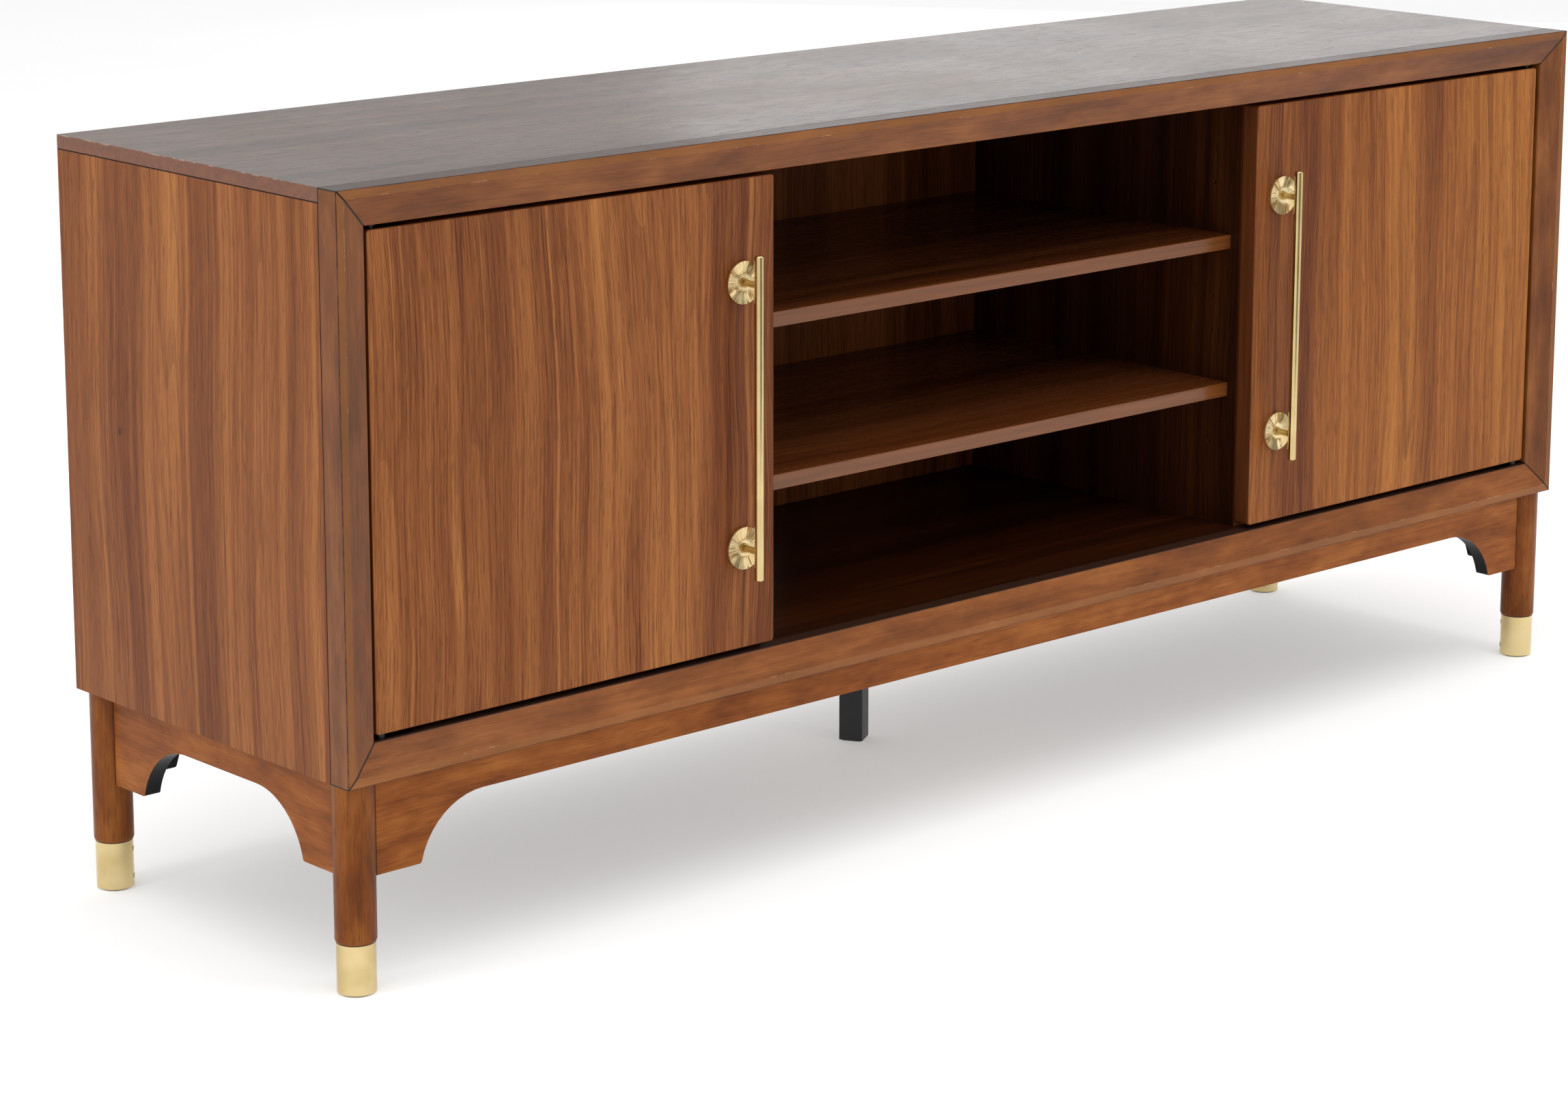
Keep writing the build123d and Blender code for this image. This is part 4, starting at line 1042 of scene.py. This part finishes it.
@dataclass
class Doors:
    """Both doors with their handles, pivots and catches."""

    colours: Palette
    leaf: float = 118 * MM
    left_leaves: Tones = (
        (0.0, 0.0), (0.10, -0.01), (0.18, 0.02), (0.26, -0.03), (0.34, 0.01), (0.44, 0.0),
        (0.52, -0.03), (0.62, -0.01), (0.72, 0.0), (0.82, -0.02), (1.0, -0.025),
    )
    left_figures: tuple[Figure, ...] = (
        Figure(0.205, 0.008, 0.90), Figure(0.565, 0.008, 0.90), Figure(0.095, 0.0025, 0.6),
        Figure(0.450, 0.0025, 0.6), Figure(0.385, 0.014, 0.30), Figure(0.930, 0.005, 0.5),
        Figure(0.255, 0.016, 0.95, False), Figure(0.630, 0.016, 0.95, False),
        Figure(0.330, 0.010, 0.60, False), Figure(0.840, 0.018, 0.45, False),
    )
    right_leaves: Tones = (
        (0.0, -0.055), (0.16, -0.05), (0.24, -0.01), (0.40, 0.015), (0.53, 0.025), (0.555, -0.025),
        (0.68, -0.02), (0.80, 0.01), (0.90, 0.0), (1.0, 0.01),
    )
    right_figures: tuple[Figure, ...] = (
        Figure(0.46, 0.016, 0.45), Figure(0.88, 0.012, 0.40), Figure(0.30, 0.010, 0.35),
        Figure(0.19, 0.018, 0.80, False), Figure(0.10, 0.022, 0.70, False),
        Figure(0.60, 0.020, 0.75, False), Figure(0.78, 0.014, 0.50, False),
    )

    def shades(self, low: float, high: float, leaves: Tones) -> Tones:
        """Move a list of tones from shares of a door's width to places across it."""
        return tuple((low + (high - low) * share, lift) for share, lift in leaves)

    def placed(self, low: float, high: float, figures: tuple[Figure, ...]) -> tuple[Figure, ...]:
        """Move a list of figures from shares of a door's width to places across it."""
        return tuple(replace(each, place=low + (high - low) * each.place) for each in figures)

    def dress_panels(self) -> None:
        """Left door in quiet straight veneer, right door in livelier figure."""
        colours = self.colours
        left = [corner.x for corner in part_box("left_door")]
        right = [corner.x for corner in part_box("right_door")]
        dress(Walnut(
            "left_door_veneer", Grain.UPRIGHT_FRONT, *colours.walnut, band=85 * MM, streak=9 * MM,
            sway=18 * MM, rings=0.28, leaf=self.leaf, leaf_contrast=0.02, gloss=0.37,
            seed=0.35, edge=colours.door_edge, leaves=self.shades(*left, self.left_leaves),
            figures=self.placed(*left, self.left_figures),
        ), "left_door")
        dress(Walnut(
            "right_door_veneer", Grain.UPRIGHT_FRONT, *colours.golden, band=75 * MM,
            streak=13 * MM, sway=18 * MM, rings=0.40, ring_count=16.0,
            leaf=self.leaf * 1.35, leaf_contrast=0.02, contrast=0.9, gloss=0.37, seed=3.85,
            edge=colours.door_edge, leaves=self.shades(*right, self.right_leaves),
            figures=self.placed(*right, self.right_figures),
        ), "right_door")

    def build(self) -> None:
        """Dress the doors and their metal, and cut the rosettes."""
        self.dress_panels()
        colours = self.colours
        dress(SatinMetal("bar_brass", colours.brass, colours.brass_shade, 0.13,
                         (4000.0, 4000.0, 40.0), 0.003 * MM), "left_handle_bar", "right_handle_bar")
        dress(SatinMetal("post_brass", colours.brass_shade, (0.45, 0.30, 0.12), 0.3,
                         (60.0, 5000.0, 60.0)), "left_handle_posts", "right_handle_posts")
        disc = dress(SatinMetal("rosette_brass", (0.80, 0.66, 0.38), (0.74, 0.58, 0.31), 0.20,
                                (120.0, 120.0, 120.0), 0.002 * MM),
                     "left_handle_rosettes", "right_handle_rosettes")
        for side in ("left", "right"):
            Rosette().build(side, disc)
        dress(SatinMetal("zinc_steel", (0.50, 0.50, 0.49), (0.38, 0.38, 0.38), 0.35, STEEL_LINES),
              "left_handle_screws", "right_handle_screws", "left_door_strikes",
              "right_door_strikes", "divider_magnets")
        dress(SatinMetal("blued_steel", (0.055, 0.050, 0.048), (0.035, 0.032, 0.030), 0.42,
                         STEEL_LINES),
              "left_door_pivot_plates", "right_door_pivot_plates", "left_door_pivot_screws",
              "right_door_pivot_screws", "frame_pivot_plates", "frame_pivot_screws", "pivot_pins")
        dress(SatinPaint("clear_rubber", (0.55, 0.55, 0.53), (0.40, 0.40, 0.38), 0.35),
              "divider_bumpers")


@dataclass
class Base:
    """Legs, ferrules, aprons and the middle post."""

    colours: Palette
    leg_seeds: dict[str, float] = field(default_factory=lambda: {
        "front_left": 0.4, "front_right": 2.9, "back_left": 5.1, "back_right": 7.7,
    })

    def dress_legs(self) -> None:
        """Round legs in upright solid wood over brushed brass ferrules."""
        for place, seed in self.leg_seeds.items():
            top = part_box(f"{place}_leg")[1].z
            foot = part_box(f"{place}_ferrule")[1].z
            dress(Walnut(
                f"{place}_leg_wood", Grain.UPRIGHT_FRONT, *self.colours.leg, band=22 * MM,
                rings=0.20, gold=0.1, pores=0.5, mottle=0.55, contrast=0.85,
                gloss=0.32, seed=seed,
                seams=(Seam("Z", top, 1.2 * MM), Seam("Z", foot + 0.4 * MM, 1.0 * MM)),
            ), f"{place}_leg")
        dress(SatinMetal("ferrule_brass", (0.70, 0.56, 0.29), (0.60, 0.46, 0.21), 0.14,
                         (90.0, 90.0, 6000.0), 0.03 * MM),
              *(f"{place}_ferrule" for place in self.leg_seeds))

    def joints(self) -> tuple[LegJoint, ...]:
        """The four lines where the aprons meet the legs.

        Returns:
            One joint for each leg.
        """
        found = []
        for place in self.leg_seeds:
            low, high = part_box(f"{place}_leg")
            found.append(LegJoint((low.x + high.x) / 2, (low.y + high.y) / 2, (high.x - low.x) / 2))
        return tuple(found)

    def dress_aprons(self) -> None:
        """Aprons: stained outside, black inside and along the arches."""
        boards = (
            ("front_apron", Grain.LEVEL_FRONT, Way.FRONT, 1.1),
            ("back_apron", Grain.LEVEL_FRONT, Way.BACK, 3.3),
            ("left_apron", Grain.LEVEL_SIDE, Way.LEFT, 5.5),
            ("right_apron", Grain.LEVEL_SIDE, Way.RIGHT, 7.1),
        )
        for name, grain, way, seed in boards:
            dress(Walnut(
                name + "_wood", grain, *self.colours.apron, mottle=0.55, leg_joints=self.joints(),
                band=46 * MM, streak=10 * MM, rings=0.3, gold=0.15, pores=0.3, contrast=0.9,
                seed=seed, face=way, paint=self.colours.black,
                seams=(Seam("Z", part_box(name)[1].z, 1.2 * MM),),
            ), name)

    def build(self) -> None:
        """Dress the whole base."""
        self.dress_legs()
        self.dress_aprons()
        dress(SatinPaint("black_post", self.colours.black, (0.016, 0.016, 0.017), 0.38), "centre_leg")
        dress(SatinPaint("black_glides", (0.012, 0.012, 0.012), (0.03, 0.03, 0.03), 0.6), "foot_glides")


@dataclass
class Fixings:
    """Dowels, blocks, battens, bolts, pins, screws and grommets."""

    colours: Palette

    def build(self) -> None:
        """Dress the hidden wood and the small metal."""
        dress(RawWood("pale_dowels", (0.52, 0.36, 0.20), (0.38, 0.24, 0.12)), "dowels")
        dress(RawWood("sawn_blocks", (0.40, 0.25, 0.13), (0.26, 0.15, 0.07)),
              "corner_blocks", "bottom_battens")
        dress(SatinMetal("zinc_fixings", (0.55, 0.55, 0.53), (0.42, 0.42, 0.41), 0.33, STEEL_LINES),
              "leg_bolts", "shelf_pins")
        dress(SatinMetal("dark_screws", (0.16, 0.13, 0.10), (0.10, 0.08, 0.06), 0.4, STEEL_LINES),
              "back_screws")
        dress(SatinMetal("screw_brass", self.colours.brass_shade, (0.42, 0.29, 0.12), 0.35,
                         STEEL_LINES), "ferrule_screws")
        dress(SatinPaint("black_grommets", (0.014, 0.014, 0.015), (0.025, 0.025, 0.025), 0.42),
              "cable_grommets")


@dataclass
class Studio:
    """Pale floor, soft light and the camera."""

    place: Place = (-3.0009, -3.1647, 1.3498)
    heading: float = 43.20
    pitch: float = -11.70
    roll: float = 0.287
    lens: float = 93.98
    shift: tuple[float, float] = (-0.0555, -0.1163)
    floor_size: float = 60.0
    floor_glow: float = 0.32
    world: float = 0.70
    backdrop: float = 1.0
    lamps: tuple[tuple[str, Place, tuple[float, float], float], ...] = (
        ("overhead", (-0.3, -0.6, 3.4), (4.5, 3.0), 70.0),
        ("front_strip", (0.9, -2.7, 1.0), (0.45, 2.0), 9.0),
        ("left_strip", (-2.9, 0.1, 1.0), (0.5, 2.0), 9.0),
        ("far_glow", (5.5, 4.2, 1.3), (3.5, 2.2), 18.0),
    )
    flag_place: Place = (0.07, -2.2, 1.0)
    flag_size: tuple[float, float] = (2.1, 2.0)

    def camera(self) -> None:
        """Place the camera by heading, pitch and roll in degrees."""
        data = bpy.data.cameras.new("camera")
        data.sensor_width = 36.0
        data.lens = self.lens
        data.shift_x, data.shift_y = self.shift
        data.clip_end = 100.0
        camera = bpy.data.objects.new("camera", data)
        level = Euler((math.radians(90 + self.pitch), 0.0, -math.radians(self.heading))).to_matrix()
        turn = level @ Matrix.Rotation(math.radians(self.roll), 3, "Z")
        camera.matrix_world = Matrix.Translation(self.place) @ turn.to_4x4()
        bpy.context.scene.collection.objects.link(camera)
        bpy.context.scene.camera = camera

    def floor(self) -> None:
        """A matt near-white floor that glows a little, so that shadows stay pale."""
        mesh = bmesh.new()
        bmesh.ops.create_grid(mesh, x_segments=1, y_segments=1, size=self.floor_size / 2)
        draw = NodeSketch("pale_floor")
        cloud = draw.noise(draw.here(), (1.5, 1.5, 1.5), 3.0)
        colour = draw.ramp(cloud, [(0.3, (0.86, 0.86, 0.86)), (0.7, (0.88, 0.88, 0.88))])
        matt = draw.finish(Base_Color=colour, Roughness=0.9, Specular_IOR_Level=0.0,
                           Emission_Color=(1.0, 1.0, 1.0, 1.0), Emission_Strength=self.floor_glow)
        mesh_object("floor", mesh, matt)

    def lamp(self, name: str, place: Place, size: tuple[float, float], energy: float) -> None:
        """One soft rectangular lamp aimed at the middle of the cabinet.

        Args:
            name: Its name.
            place: Where it hangs.
            size: Width and height.
            energy: Power in watts.
        """
        data = bpy.data.lights.new(name, "AREA")
        data.shape = "RECTANGLE"
        data.size, data.size_y = size
        data.energy = energy
        lamp = bpy.data.objects.new(name, data)
        lamp.visible_camera = False
        middle = (CAD_LOW + CAD_HIGH) / 2
        aim = (middle - Vector(place)).to_track_quat("-Z", "Y")
        lamp.matrix_world = Matrix.Translation(place) @ aim.to_matrix().to_4x4()
        bpy.context.scene.collection.objects.link(lamp)

    def flag(self) -> None:
        """A grey upright card that only shows as a reflection in the metal and lacquer."""
        mesh = bmesh.new()
        aim = Vector((0.0, 0.0, self.flag_place[2])) - Vector(self.flag_place)
        turn = aim.to_track_quat("Z", "Y").to_matrix().to_4x4()
        bmesh.ops.create_grid(mesh, x_segments=1, y_segments=1, size=0.5)
        bmesh.ops.scale(mesh, vec=(*self.flag_size, 1.0), verts=mesh.verts)
        bmesh.ops.transform(mesh, matrix=Matrix.Translation(self.flag_place) @ turn, verts=mesh.verts)
        cloth = SatinPaint("dark_flag_cloth", (0.24, 0.24, 0.22), (0.28, 0.28, 0.26), 0.9)
        card = mesh_object("dark_flag", mesh, cloth.material())
        card.visible_camera = card.visible_diffuse = card.visible_shadow = False

    def build(self) -> None:
        """Set up the whole studio."""
        scene = bpy.context.scene
        scene.view_settings.view_transform = "Standard"
        world = bpy.data.worlds.new("white_room")
        world.use_nodes = True
        sky = world.node_tree.nodes["Background"]
        sky.inputs[0].default_value = (1.0, 1.0, 1.0, 1.0)
        seen = world.node_tree.nodes.new("ShaderNodeLightPath")
        level = world.node_tree.nodes.new("ShaderNodeMath")
        level.operation = "MULTIPLY_ADD"
        level.inputs[1].default_value = self.backdrop - self.world
        level.inputs[2].default_value = self.world
        world.node_tree.links.new(seen.outputs["Is Camera Ray"], level.inputs[0])
        world.node_tree.links.new(level.outputs[0], sky.inputs[1])
        scene.world = world
        self.floor()
        for name, place, size, energy in self.lamps:
            self.lamp(name, place, size, energy)
        self.flag()
        self.camera()


def main() -> None:
    """Build the cabinet's finishes and pieces in order, then the studio."""
    logging.basicConfig(level=logging.INFO, format="%(name)s: %(message)s")
    colours = Palette()
    for part in (Carcass(colours), FrontFrame(colours), Shelves(colours), Doors(colours),
                 Base(colours), Fixings(colours), Studio()):
        part.build()


if __name__ == "__main__":
    main()
